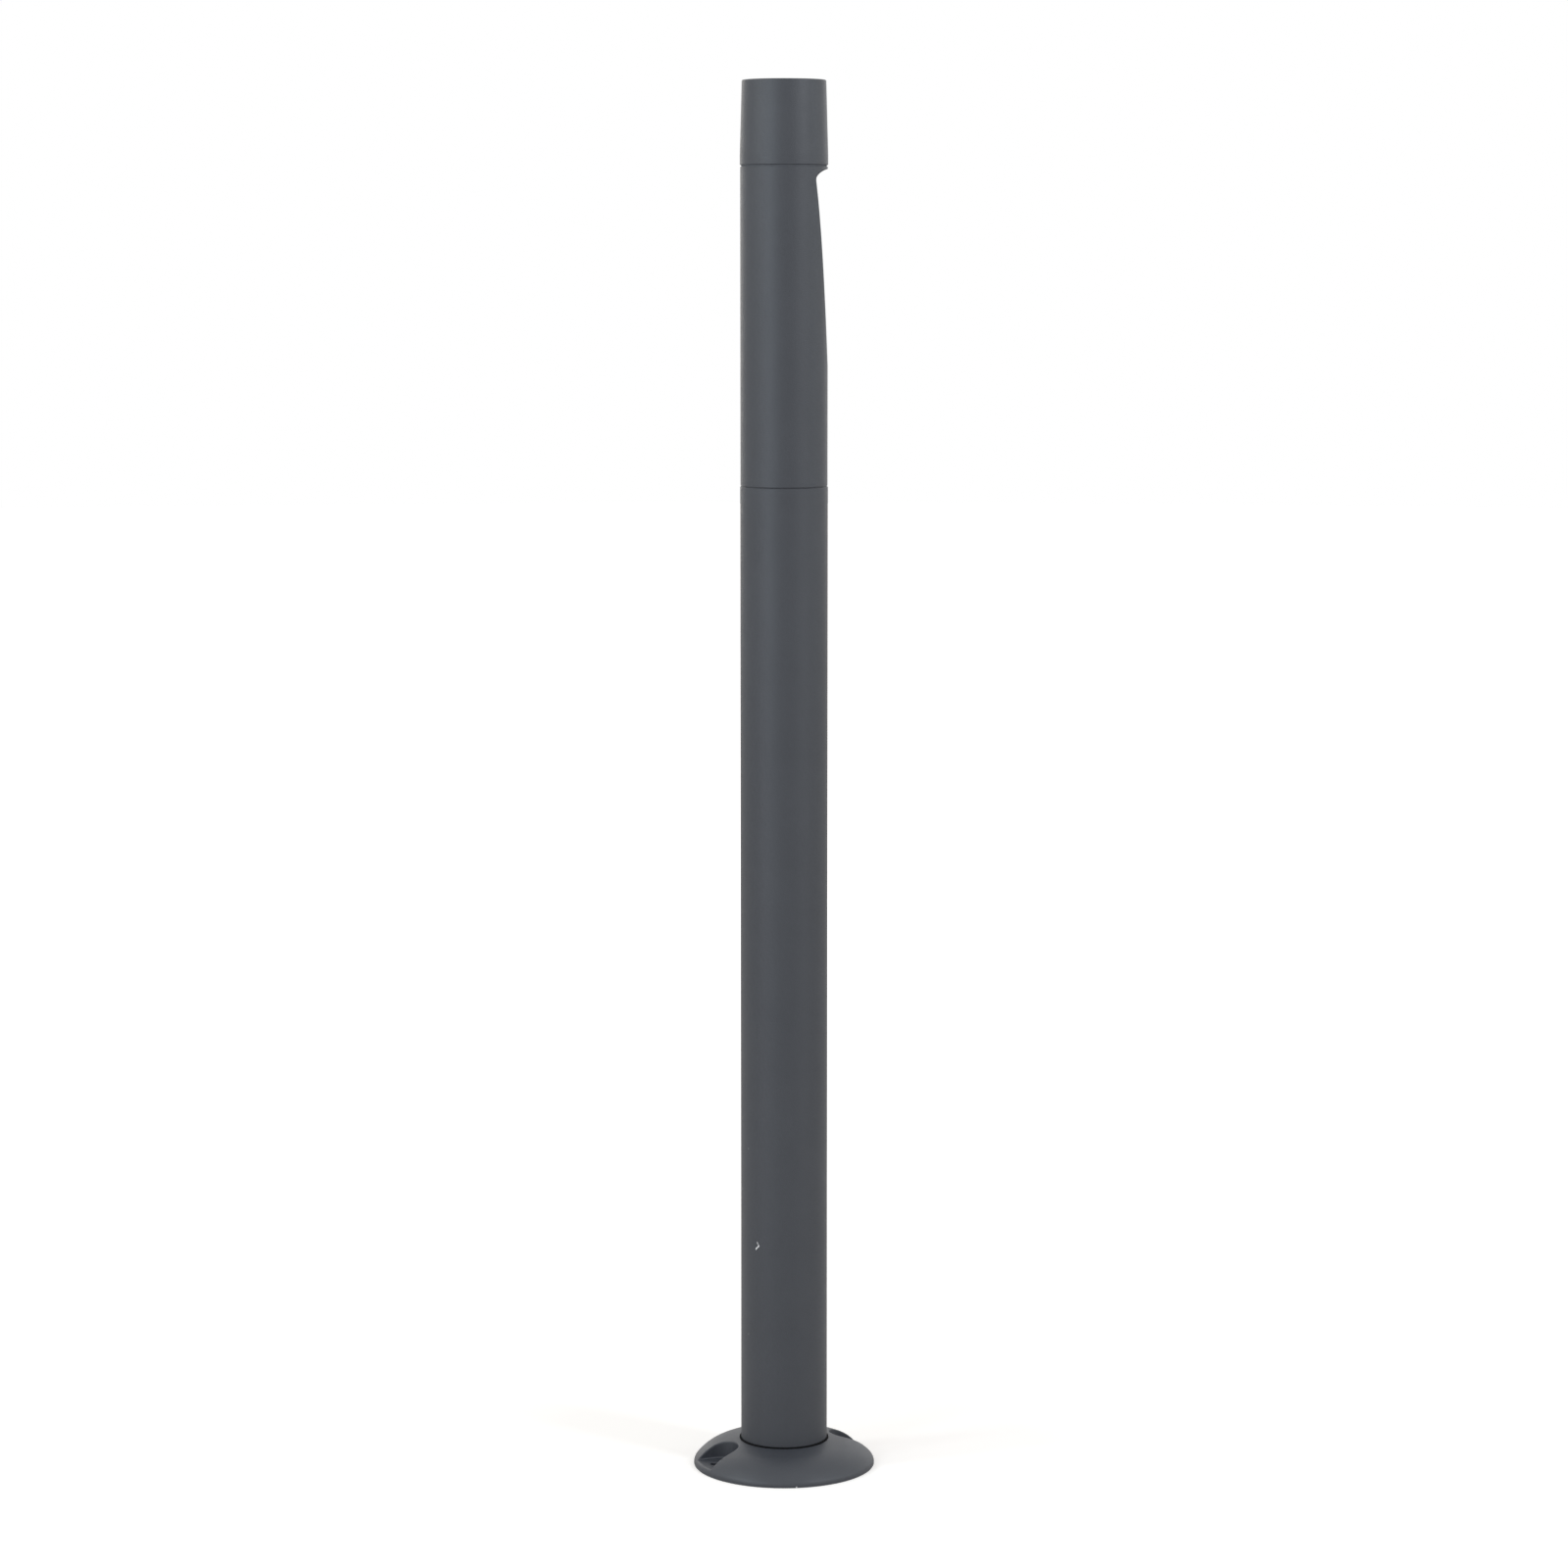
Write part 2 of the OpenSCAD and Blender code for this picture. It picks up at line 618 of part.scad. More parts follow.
// The cast head: barrel, scoop wall, deck with the lens seat, ring for the cap,
// and the spigot that enters the post
module lamp_head() {
  color("#4a4e54") difference() {
    union() {
      difference() {
        translate([0, 0, joint_z]) cylinder(r = head_r, h = head_h);
        translate([0, 0, joint_z + head_flange_t])
          cylinder(r = head_bore_r, h = head_h - head_flange_t - lip_t);
      }
      intersection() {
        scoop_form(scoop_wall);
        translate([0, 0, joint_z + head_flange_t + eps])
          cylinder(r = head_r - head_wall / 2, h = head_h - head_flange_t - eps);
      }
      translate([0, 0, ceiling_z]) cylinder(r = cap_seat_r - eps, h = deck_t);
      ring(cap_seat_r, cap_seat_r - cap_spigot_wall, head_top_z - eps / 4, cap_spigot_l + eps / 4);
      ring(spigot_r, spigot_bore_r, spigot_end_z, head_spigot_l + head_flange_t);
      for (angle = head_lug_angles)
        at_polar(angle, lug_reach, spigot_end_z) cylinder(r = lug_r, h = lug_l);
    }
    translate([0, 0, joint_z - eps]) cylinder(r = spigot_bore_r, h = head_flange_t + 2 * eps);
    scoop_form(0);
    // Lens window, lens seat and the two screw holes of its ring
    translate([lens_offset, 0, ceiling_z - eps]) cylinder(r = window_r, h = deck_t + 2 * eps);
    translate([lens_offset, 0, lens_seat_z]) cylinder(r = lens_pocket_r, h = deck_t);
    for (side = [-1, 1])
      translate([lens_offset, side * ring_ear_reach, deck_z - ring_hole_l])
        cylinder(r = lug_bore_r, h = deck_t);
    // Holes for the cap screws and for the lead
    for (angle = cap_post_angles)
      at_polar(angle, cap_post_reach, ceiling_z - eps)
        cylinder(r = cap_screw_d / 2 + screw_clear, h = deck_t + 2 * eps);
    at_polar(grommet_angle, grommet_reach, ceiling_z - eps)
      cylinder(r = grommet_hole_r, h = deck_t + 2 * eps);
    // Shadow groove, seal groove, lug bores and post screw holes
    ring(head_r + eps, head_r - joint_groove, joint_z - eps / 10, joint_groove + eps / 10);
    ring(
      spigot_r + eps, seal_ring_r - seal_d / 2 - seal_clear,
      seal_z - seal_d / 2 - 2 * seal_clear, seal_d + 4 * seal_clear
    );
    for (angle = head_lug_angles)
      at_polar(angle, lug_reach, spigot_end_z - eps) cylinder(r = lug_bore_r, h = lug_hole_l + eps);
    spigot_screw_holes(head_screw_z);
  }
}

// The cast cap: straight land, slight taper, rounded top edge, and inside it the posts
// for its screws and two bosses for the carrier disc
module head_cap() {
  top_r = cap_r - (cap_h - cap_land) * tan(cap_taper);
  edge = [for (a = [0 : 15 : 90])
    [top_r - cap_edge_r + cap_edge_r * cos(a), total_h - cap_edge_r + cap_edge_r * sin(a)]];
  color("#4d5157") difference() {
    union() {
      difference() {
        rotate_extrude() polygon(concat(
          [[0, cap_z], [cap_r - cap_chamfer, cap_z], [cap_r, cap_z + cap_chamfer]],
          [[cap_r, cap_z + cap_land]],
          edge, [[0, total_h]]
        ));
        translate([0, 0, cap_z - eps])
          cylinder(r = cap_seat_r + cap_seat_clear, h = cap_bore_z - cap_z + eps);
        translate([0, 0, cap_z]) cylinder(r = cap_bore_r, h = cap_roof_z - cap_z);
      }
      for (angle = cap_post_angles) {
        at_polar(angle, cap_post_reach, deck_z) cylinder(r = cap_post_r, h = cap_roof_z - deck_z + eps);
        rotate([0, 0, angle]) translate([cap_post_reach, -cap_web_t / 2, cap_bore_z + eps])
          cube([cap_bore_r - cap_post_reach + 1, cap_web_t, cap_roof_z - cap_bore_z]);
      }
      for (angle = carrier_boss_angles)
        at_polar(angle, carrier_boss_reach, carrier_top_z)
          cylinder(r = carrier_boss_r, h = cap_roof_z - carrier_top_z + eps);
    }
    for (angle = cap_post_angles)
      at_polar(angle, cap_post_reach, deck_z - eps)
        cylinder(r = cap_screw_d / 2 + thread_clear, h = cap_screw_grip + 2 * eps);
    for (angle = carrier_boss_angles)
      at_polar(angle, carrier_boss_reach, carrier_top_z - eps)
        cylinder(r = lug_bore_r, h = boss_screw_grip + 2 * eps);
  }
}

// Gasket between head and cap, lying back in a dark groove
module cap_gasket() {
  color("#1d1e20")
    ring(head_r - gasket_recess, cap_seat_r + cap_seat_clear / 2, head_top_z, cap_gap);
}

module cap_screws() {
  color("#b9bcc0") for (angle = cap_post_angles)
    at_polar(angle, cap_post_reach, ceiling_z) pan_screw(cap_screw_d, deck_t + cap_screw_grip);
}

// Frosted lens: a flange above the deck's seat and a plug that fills the window
module lens() {
  color("#e9edf0") translate([lens_offset, 0, 0]) {
    translate([0, 0, lens_flange_z]) cylinder(r = lens_r, h = lens_t);
    translate([0, 0, ceiling_z + lens_back])
      cylinder(r = window_r - lens_clear, h = lens_flange_z - ceiling_z - lens_back + lens_t / 2);
  }
}

module lens_gasket() {
  color("#232426") translate([lens_offset, 0, 0])
    ring(lens_r, window_r + lens_clear, lens_seat_z, lens_gasket_t);
}

// Ring that clamps the lens, with a skirt around the flange and two ears
module lens_ring() {
  ring_h = reflector_z - deck_z;
  color("#c4c7ca") translate([lens_offset, 0, deck_z]) difference() {
    union() {
      cylinder(r = lens_ring_r, h = ring_h);
      translate([-ring_ear_r, -ring_ear_reach, 0]) cube([2 * ring_ear_r, 2 * ring_ear_reach, ring_h]);
      for (side = [-1, 1]) translate([0, side * ring_ear_reach, 0]) cylinder(r = ring_ear_r, h = ring_h);
    }
    translate([0, 0, -eps]) cylinder(r = lens_pocket_r, h = lens_ring_z - deck_z + eps);
    cylinder(r = window_r, h = ring_h + eps);
    for (side = [-1, 1]) translate([0, side * ring_ear_reach, -eps])
      cylinder(r = small_screw_d / 2 + screw_clear, h = ring_h + 2 * eps);
  }
}

module lens_ring_screws() {
  color("#b9bcc0") for (side = [-1, 1])
    translate([lens_offset, side * ring_ear_reach, reflector_z]) rotate([180, 0, 0])
      pan_screw(small_screw_d, reflector_z - deck_z + ring_hole_l - screw_end_gap);
}

// Turned reflector: a steepening cone between the chip and the lens
module reflector() {
  steps = 6;
  throat_r = emitter_r + 0.4;
  mouth_r = window_r - lens_clear;
  flange_w = 1.4;
  function flare(t) = throat_r + (mouth_r - throat_r) * sqrt(t);
  inner = [for (i = [0 : steps]) [flare(i / steps), chip_z - reflector_h * i / steps]];
  outer = [for (i = [steps : -1 : 1])
    [flare(i / steps) + reflector_wall, chip_z - reflector_h * i / steps]];
  color("#dfe1e3") translate([lens_offset, 0, 0]) rotate_extrude() polygon(concat(
    inner, outer,
    [[throat_r + flange_w, chip_z - flange_w], [throat_r + flange_w, chip_z]]
  ));
}

// Chip: a square substrate and the round emitting field under it
module led_chip() {
  color("#f0d873") translate([lens_offset, 0, chip_z]) {
    translate([-chip_w / 2, -chip_w / 2, 0]) cube([chip_w, chip_w, chip_t]);
    translate([0, 0, -emitter_t]) cylinder(r = emitter_r, h = emitter_t + chip_t / 2);
  }
}

module led_board() {
  color("#e4e6e4") translate([lens_offset, 0, board_z]) difference() {
    cylinder(r = board_r, h = board_t);
    for (side = [-1, 1]) translate([0, side * board_screw_reach, -eps])
      cylinder(r = small_screw_d / 2 + screw_clear, h = board_t + 2 * eps);
  }
}

module board_screws() {
  color("#b9bcc0") for (side = [-1, 1])
    translate([lens_offset, side * board_screw_reach, board_z])
      pan_screw(small_screw_d, board_t + pad_t + carrier_t - screw_end_gap);
}

module thermal_pad() {
  color("#8d9094") translate([lens_offset, 0, pad_z]) difference() {
    cylinder(r = board_r - 0.4, h = pad_t);
    for (side = [-1, 1]) translate([0, side * board_screw_reach, -eps])
      cylinder(r = small_screw_d / 2 + screw_clear, h = pad_t + 2 * eps);
  }
}

// Carrier disc: notched for the cap's posts, it takes the board's heat to the cap
module led_carrier() {
  notch_r = cap_post_r + carrier_clear;
  color("#c9ccce") difference() {
    translate([0, 0, carrier_z]) cylinder(r = cap_bore_r - carrier_clear, h = carrier_t);
    for (angle = cap_post_angles) rotate([0, 0, angle]) translate([0, 0, carrier_z - eps]) {
      translate([cap_post_reach, 0, 0]) cylinder(r = notch_r, h = carrier_t + 2 * eps);
      translate([cap_post_reach, -notch_r, 0]) cube([cap_bore_r, 2 * notch_r, carrier_t + 2 * eps]);
    }
    for (angle = carrier_boss_angles)
      at_polar(angle, carrier_boss_reach, carrier_z - eps)
        cylinder(r = small_screw_d / 2 + screw_clear, h = carrier_t + 2 * eps);
    for (side = [-1, 1]) translate([lens_offset, side * board_screw_reach, carrier_z - eps])
      cylinder(r = lug_bore_r, h = carrier_t + 2 * eps);
  }
}

module carrier_screws() {
  color("#b9bcc0") for (angle = carrier_boss_angles)
    at_polar(angle, carrier_boss_reach, carrier_z) pan_screw(small_screw_d, carrier_t + boss_screw_grip);
}

// Rubber grommet in the deck
module lead_grommet() {
  flange_r = grommet_hole_r + 1.2;
  flange_t = 1;
  neck_r = grommet_hole_r - 0.1;
  bore_r = led_lead_d / 2 + lead_clear;
  color("#232426") at_polar(grommet_angle, grommet_reach) {
    ring(neck_r, bore_r, ceiling_z - flange_t, deck_t + 2 * flange_t);
    for (z = [ceiling_z - flange_t, deck_z]) ring(flange_r, neck_r - 0.2, z, flange_t);
  }
}

// Lead from the driver's top, up behind the scoop and through the grommet to the board
module led_lead() {
  hole = grommet_reach * [cos(grommet_angle), sin(grommet_angle), 0];
  board_edge = lens_offset - board_r;
  level_z = carrier_z - led_lead_d / 2 - lead_clear;
  start = driver_place(0, -driver_t / 2 + 5);
  color("#e8e8e4") lead([
    [start[0], start[1], driver_top_z - driver_ear_h],
    [start[0], start[1], driver_top_z - driver_ear_h + 12],
    [-14, 4, ceiling_z - 110],
    [hole[0] + 1, hole[1] - 1, ceiling_z - 40],
    [hole[0], hole[1], ceiling_z - 12],
    [hole[0], hole[1], deck_z + 4],
    [hole[0] + 2, hole[1] - 1.5, level_z - 8],
    [hole[0] + 7, hole[1] - 7, level_z - 1.5],
    [board_edge - 4, 0, level_z],
    [board_edge - 0.05, 0, level_z]
  ], led_lead_d, 4, [0.6, 1, 0.05]);
}

// Place beside the driver, whose bracket is turned in line with the two lugs
function driver_place(x, y) = [
  x * cos(bracket_turn) - y * sin(bracket_turn),
  x * sin(bracket_turn) + y * cos(bracket_turn)
];

// Driver: a sealed block with a screw ear at each end
module driver() {
  color("#e6e6e2") rotate([0, 0, bracket_turn]) difference() {
    union() {
      translate([-driver_w / 2, driver_back - driver_t, driver_z + driver_ear_h])
        cube([driver_w, driver_t, driver_h]);
      translate([-driver_w / 2, driver_back - driver_ear_t, driver_z])
        cube([driver_w, driver_ear_t, driver_top_z - driver_z]);
    }
    for (z = driver_hole_zs)
      translate([0, driver_back - driver_ear_t - eps, z]) rotate([-90, 0, 0])
        cylinder(r = small_screw_d / 2 + screw_clear, h = driver_ear_t + 2 * eps);
  }
}

// Folded strip: a foot screwed to the lugs under the spigot and an upright leaf
module driver_bracket() {
  strip_l = 2 * (lug_reach + lug_r);
  foot_z = spigot_end_z - sheet_t;
  color("#c9ccce") rotate([0, 0, bracket_turn]) difference() {
    union() {
      intersection() {
        translate([-strip_l / 2, driver_back + sheet_t - strip_w, foot_z])
          cube([strip_l, strip_w, sheet_t]);
        translate([0, 0, foot_z]) cylinder(r = spigot_r - eps, h = sheet_t);
      }
      translate([-driver_w / 2, driver_back, foot_z])
        cube([driver_w, sheet_t, driver_top_z + sheet_t - foot_z]);
    }
    for (side = [-1, 1]) translate([side * lug_reach, 0, foot_z - eps])
      cylinder(r = small_screw_d / 2 + screw_clear, h = sheet_t + 2 * eps);
    for (z = driver_hole_zs) translate([0, driver_back - eps, z]) rotate([-90, 0, 0])
      cylinder(r = lug_bore_r, h = sheet_t + 2 * eps);
    translate([0, 1, foot_z - eps])
      cylinder(r = supply_lead_d / 2 + 1, h = sheet_t + 2 * eps);
  }
}

module driver_screws() {
  color("#b9bcc0") rotate([0, 0, bracket_turn]) for (z = driver_hole_zs)
    translate([0, driver_back - driver_ear_t, z]) rotate([-90, 0, 0])
      pan_screw(small_screw_d, driver_ear_t + sheet_t);
}

module bracket_screws() {
  color("#b9bcc0") for (angle = head_lug_angles)
    at_polar(angle, lug_reach, spigot_end_z - sheet_t)
      pan_screw(small_screw_d, sheet_t + lug_screw_grip);
}

// Seal ring in the head's spigot
module joint_seal() {
  color("#1d1e20") translate([0, 0, seal_z]) rotate_extrude()
    translate([seal_ring_r, 0]) circle(d = seal_d);
}

// Place of a pole across the terminal block, and of the block's two holding screws
function pole_x(i) = (i - (pole_count - 1) / 2) * pole_pitch;
module block_screw_places(y) {
  for (side = [-1, 1]) translate([side * pole_pitch / 2, y, terminal_z + terminal_h / 2])
    rotate([-90, 0, 0]) children();
}

// Block with a wire passage for each pole and a screw well at each end of it
module terminal_block() {
  front_y = terminal_back - terminal_t;
  color("#dcdcd6") difference() {
    translate([-terminal_w / 2, front_y, terminal_z]) cube([terminal_w, terminal_t, terminal_h]);
    for (i = [0 : pole_count - 1]) {
      for (z = [terminal_z - eps, terminal_z + terminal_h - passage_l])
        translate([pole_x(i), front_y + terminal_t / 2, z]) cylinder(r = passage_r, h = passage_l + eps);
      for (z = well_zs) translate([pole_x(i), front_y - eps, z]) rotate([-90, 0, 0])
        cylinder(r = well_r, h = well_l + eps);
    }
    block_screw_places(front_y - eps)
      cylinder(r = small_screw_d / 2 + screw_clear, h = terminal_t + 2 * eps);
  }
}

// Clamp screws in the wells, and the two screws that hold the block on its bracket
module terminal_screws() {
  front_y = terminal_back - terminal_t;
  clamp_h = 3.4;
  color("#c9a24a") {
    for (i = [0 : pole_count - 1], z = well_zs)
      translate([pole_x(i), front_y + well_l, z]) rotate([90, 0, 0]) difference() {
        cylinder(r = well_r - screw_clear, h = clamp_h);
        translate([-well_r, -0.4, clamp_h - eps]) cube([2 * well_r, 0.8, 2 * eps]);
      }
    block_screw_places(front_y) pan_screw(small_screw_d, terminal_t + sheet_t);
  }
}

// Folded bracket: a foot on the spigot's lugs and an upright leaf behind the block
module terminal_bracket() {
  color("#c9ccce") difference() {
    union() {
      intersection() {
        translate([-spigot_r, terminal_back, foot_spigot_top_z]) cube([2 * spigot_r, spigot_r, sheet_t]);
        translate([0, 0, foot_spigot_top_z]) cylinder(r = spigot_r - eps, h = sheet_t);
      }
      translate([-terminal_w / 2, terminal_back, foot_spigot_top_z])
        cube([terminal_w, sheet_t, terminal_z + terminal_h - foot_spigot_top_z]);
    }
    for (angle = foot_lug_angles)
      at_polar(angle, lug_reach, foot_spigot_top_z - eps)
        cylinder(r = small_screw_d / 2 + screw_clear, h = sheet_t + 2 * eps);
    block_screw_places(terminal_back - eps) cylinder(r = lug_bore_r, h = sheet_t + 2 * eps);
  }
}

module terminal_bracket_screws() {
  color("#b9bcc0") for (angle = foot_lug_angles)
    at_polar(angle, lug_reach, foot_spigot_top_z + sheet_t) rotate([180, 0, 0])
      pan_screw(small_screw_d, sheet_t + lug_screw_grip);
}

// Earth tag: a ring under a screw on the spigot's third lug, a tongue, and a barrel
module earth_lug() {
  tongue_w = 3.2;
  barrel_l = 6;
  color("#d8b45a") at_polar(earth_lug_angle, lug_reach, foot_spigot_top_z) difference() {
    union() {
      cylinder(r = tag_r, h = tag_t);
      translate([barrel_l / 2 - tag_l, -tongue_w / 2, 0]) cube([tag_l - barrel_l, tongue_w, tag_t]);
      translate([-tag_l, 0, barrel_r]) rotate([0, 90, 0]) cylinder(r = barrel_r, h = barrel_l);
    }
    translate([0, 0, -eps]) cylinder(r = small_screw_d / 2 + screw_clear, h = tag_t + 2 * eps);
    translate([-tag_l - eps, 0, barrel_r]) rotate([0, 90, 0])
      cylinder(r = earth_lead_d / 2 + thread_clear, h = barrel_l - 1);
  }
}

module earth_screw() {
  color("#b9bcc0") at_polar(earth_lug_angle, lug_reach, foot_spigot_top_z + tag_t)
    rotate([180, 0, 0]) pan_screw(small_screw_d, tag_t + lug_screw_grip);
}

module earth_lead() {
  barrel_y = -lug_reach + tag_l;
  barrel_z = foot_spigot_top_z + barrel_r;
  passage_y = terminal_back - terminal_t / 2;
  color("#7f9a3a") lead([
    [0, barrel_y - 3, barrel_z],
    [0, barrel_y, barrel_z],
    [0, barrel_y + 4, barrel_z + 0.5],
    [pole_x(0) / 2, 0.5, barrel_z + 3.5],
    [pole_x(0), passage_y, terminal_z - 1],
    [pole_x(0), passage_y, terminal_z + 5]
  ], earth_lead_d, 4, [1, 0, 0.2]);
}

// Supply lead from the block up the post to the driver's underside
module supply_lead() {
  passage_y = terminal_back - terminal_t / 2;
  strip_hole = driver_place(0, 1);
  start_z = terminal_z + terminal_h;
  color("#2b2c2e") lead([
    [0, passage_y, start_z],
    [0, passage_y, start_z + 14],
    [3, 0, start_z + 60],
    [-4, -3, (start_z + spigot_end_z) / 2],
    [1, 2, spigot_end_z - 70],
    [strip_hole[0], strip_hole[1], spigot_end_z - 20],
    [strip_hole[0], strip_hole[1], driver_z + driver_ear_h]
  ], supply_lead_d, 4, [0, 1, 0.1]);
}

// Gland in the foot's web: its thread hangs under the web and its hexagon sits on it
module cable_gland() {
  thread_z = foot_deck_z - gland_thread_l;
  color("#2f3133") difference() {
    union() {
      translate([0, 0, thread_z]) cylinder(r = gland_d / 2, h = post_foot_z - thread_z);
      translate([0, 0, post_foot_z]) cylinder(r = gland_corner_r, h = gland_hex_t, $fn = 6);
      translate([0, 0, gland_neck_z - eps]) cylinder(r = gland_neck_r, h = gland_neck_h + eps);
    }
    translate([0, 0, thread_z - eps]) cylinder(r = gland_wire_r, h = gland_neck_z - thread_z + 2 * eps);
    translate([0, 0, gland_neck_z])
      cylinder(r = gland_neck_r - gland_neck_wall, h = gland_neck_h + eps);
  }
}

module gland_locknut() {
  color("#2f3133") translate([0, 0, foot_deck_z - gland_nut_h]) difference() {
    cylinder(r = gland_corner_r, h = gland_nut_h, $fn = 6);
    translate([0, 0, -eps]) cylinder(r = gland_d / 2 + thread_clear, h = gland_nut_h + 2 * eps);
  }
}

// Rubber seal that grips the cable
module gland_seal() {
  seal_out_r = gland_neck_r - gland_neck_wall - 0.2;
  color("#1d1e20") ring(seal_out_r, gland_bore_d / 2, gland_neck_z, gland_neck_h + 1);
}

// Domed nut that presses on the seal
module gland_cap() {
  skirt_h = gland_neck_h - 0.6;
  crown_h = 4;
  color("#2f3133") translate([0, 0, gland_neck_z + 0.6]) difference() {
    union() {
      cylinder(r = gland_corner_r, h = skirt_h, $fn = 6);
      translate([0, 0, skirt_h])
        cylinder(r1 = gland_corner_r - 1.6, r2 = gland_neck_r - 1, h = crown_h);
    }
    translate([0, 0, -eps]) cylinder(r = gland_neck_r + thread_clear, h = skirt_h + 2 * eps);
    cylinder(r = gland_wire_r, h = skirt_h + crown_h + eps);
  }
}

foot();
post_tube();
lamp_head();
head_cap();
cap_gasket();
lens();
lens_gasket();
lens_ring();
lens_ring_screws();
reflector();
led_chip();
led_board();
board_screws();
thermal_pad();
led_carrier();
carrier_screws();
cap_screws();
lead_grommet();
led_lead();
driver();
driver_bracket();
driver_screws();
bracket_screws();
joint_seal();
post_screws();
supply_lead();
terminal_block();
terminal_screws();
terminal_bracket();
terminal_bracket_screws();
earth_lug();
earth_screw();
earth_lead();
cable_gland();
gland_locknut();
gland_seal();
gland_cap();
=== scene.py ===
import json
import math

import bpy
import numpy as np
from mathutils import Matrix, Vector


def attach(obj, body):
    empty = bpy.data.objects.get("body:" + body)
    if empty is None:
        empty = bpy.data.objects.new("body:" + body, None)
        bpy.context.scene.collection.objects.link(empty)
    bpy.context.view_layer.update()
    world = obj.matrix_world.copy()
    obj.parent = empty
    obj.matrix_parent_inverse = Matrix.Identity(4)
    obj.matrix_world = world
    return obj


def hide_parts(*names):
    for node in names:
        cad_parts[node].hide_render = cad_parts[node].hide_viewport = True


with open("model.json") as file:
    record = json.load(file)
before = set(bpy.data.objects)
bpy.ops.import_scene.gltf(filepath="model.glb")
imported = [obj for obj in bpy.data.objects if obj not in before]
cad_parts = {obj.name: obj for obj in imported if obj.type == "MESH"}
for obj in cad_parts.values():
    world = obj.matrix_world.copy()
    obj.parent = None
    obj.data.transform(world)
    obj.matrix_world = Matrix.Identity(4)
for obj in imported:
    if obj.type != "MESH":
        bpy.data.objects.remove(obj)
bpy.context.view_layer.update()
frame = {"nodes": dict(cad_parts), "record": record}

# A slim round post light on a domed cast foot, with a scooped lamp head that faces +X.
# Blender's lengths are metres; the sizes of the making are named in millimetres.
MM = 0.001


# Camera, fitted to the photo: it stands 3 m in front at the height of the head and looks down a little

PHOTO_PX = 1600
FOCAL_PX = 4260.1
CAMERA_DISTANCE = 2.9740
CAMERA_HEIGHT = 0.8759
CAMERA_DOWN_DEGREES = 6.765
# The best fit has more shift, but that cuts the head off in the views from other sides
CAMERA_SHIFT = -0.02
camera_data = bpy.data.cameras.new("camera")
camera_data.sensor_width = 36.0
camera_data.lens = FOCAL_PX / PHOTO_PX * camera_data.sensor_width
camera_data.shift_y = CAMERA_SHIFT
camera = bpy.data.objects.new("camera", camera_data)
bpy.context.scene.collection.objects.link(camera)
camera.location = (0, -CAMERA_DISTANCE, CAMERA_HEIGHT)
camera.rotation_euler = (math.radians(90 - CAMERA_DOWN_DEGREES), 0, 0)
bpy.context.scene.camera = camera
bpy.context.scene.view_settings.view_transform = "Standard"


# Colours and nodes

def linear(hex_colour):
    """An sRGB hex colour as linear red, green, blue and alpha."""
    channels = [int(hex_colour[i:i + 2], 16) / 255 for i in (1, 3, 5)]
    return (*[c / 12.92 if c <= 0.04045 else ((c + 0.055) / 1.055) ** 2.4 for c in channels], 1.0)


def per_size(size_mm):
    """The noise scale that makes features this big on Object coordinates."""
    return 1 / (size_mm * MM)


def per_ring(spacing_mm):
    """The scale that puts a wave's crests this far apart: a wave turns 20 radians for each unit."""
    return 2 * math.pi / (20 * spacing_mm * MM)


def add(tree, kind, inputs=(), output=0, **settings):
    """Adds a node with its settings, values and links, and returns one of its outputs."""
    node = tree.nodes.new(kind)
    for name, value in settings.items():
        setattr(node, name, value)
    for name, value in dict(inputs).items():
        if isinstance(value, bpy.types.NodeSocket):
            tree.links.new(value, node.inputs[name])
        else:
            node.inputs[name].default_value = value
    return node.outputs[output] if node.outputs else node


def new_material(name):
    """An empty material, its tree and the place on the object that its patterns follow."""
    material = bpy.data.materials.new(name)
    material.use_nodes = True
    tree = material.node_tree
    tree.nodes.clear()
    return material, tree, add(tree, "ShaderNodeTexCoord", output="Object")


# The values between which the noise nearly always lies
NOISE_LOW, NOISE_HIGH = 0.32, 0.68


def wander(tree, place, size_mm, low=0.0, high=1.0):
    """Soft patches of about this size, as a value that drifts between low and high."""
    noise = add(tree, "ShaderNodeTexNoise", {"Vector": place, "Scale": per_size(size_mm), "Detail": 3.0})
    return add(tree, "ShaderNodeMapRange", {
        "Value": noise, "From Min": NOISE_LOW, "From Max": NOISE_HIGH, "To Min": low, "To Max": high})


# Marks in the coat, in millimetres on the front of the post

# A flake of coat is missing low on the left: its middle line and half width, from the lower tip up. The
# half width starts and ends below zero, so that the flake closes at both tips.
CHIP_LOW, CHIP_HIGH = 164.0, 171.0
CHIP_X = -20.0
CHIP_CLOSED = -0.3
CHIP_MIDDLE = ((164.9, -20.05), (166.3, -19.45), (168.0, -18.30), (169.3, -19.00), (170.9, -19.35))
CHIP_HALF_W = ((164.0, CHIP_CLOSED), (164.9, 0.36), (166.3, 0.62), (167.6, 0.55), (168.3, 0.42),
               (169.4, 0.42), (170.3, 0.30), (171.0, CHIP_CLOSED))
CHIP_RAGGED = 0.12
CHIP_RAGGED_SIZE = 0.6
# The upper part went less deep and stays greyer: where that starts, where it is full, and how bare it is
CHIP_GREYER = (167.6, 168.8, 0.6)
# Only what lies in front of this is chipped
CHIP_FRONT_Y = -10.0
# Specks: place and width
POST_SPECKS = ((-25.7, -17.9, 100.8, 0.5), (-25.7, -17.9, 237.6, 0.5), (-29.8, -9.5, 206.1, 0.5))
FOOT_SPECKS = ((9.0, -65.2, 0.7, 1.0),)
COAT_THICKNESS = 0.07
BARE_ROUGHNESS = 0.6


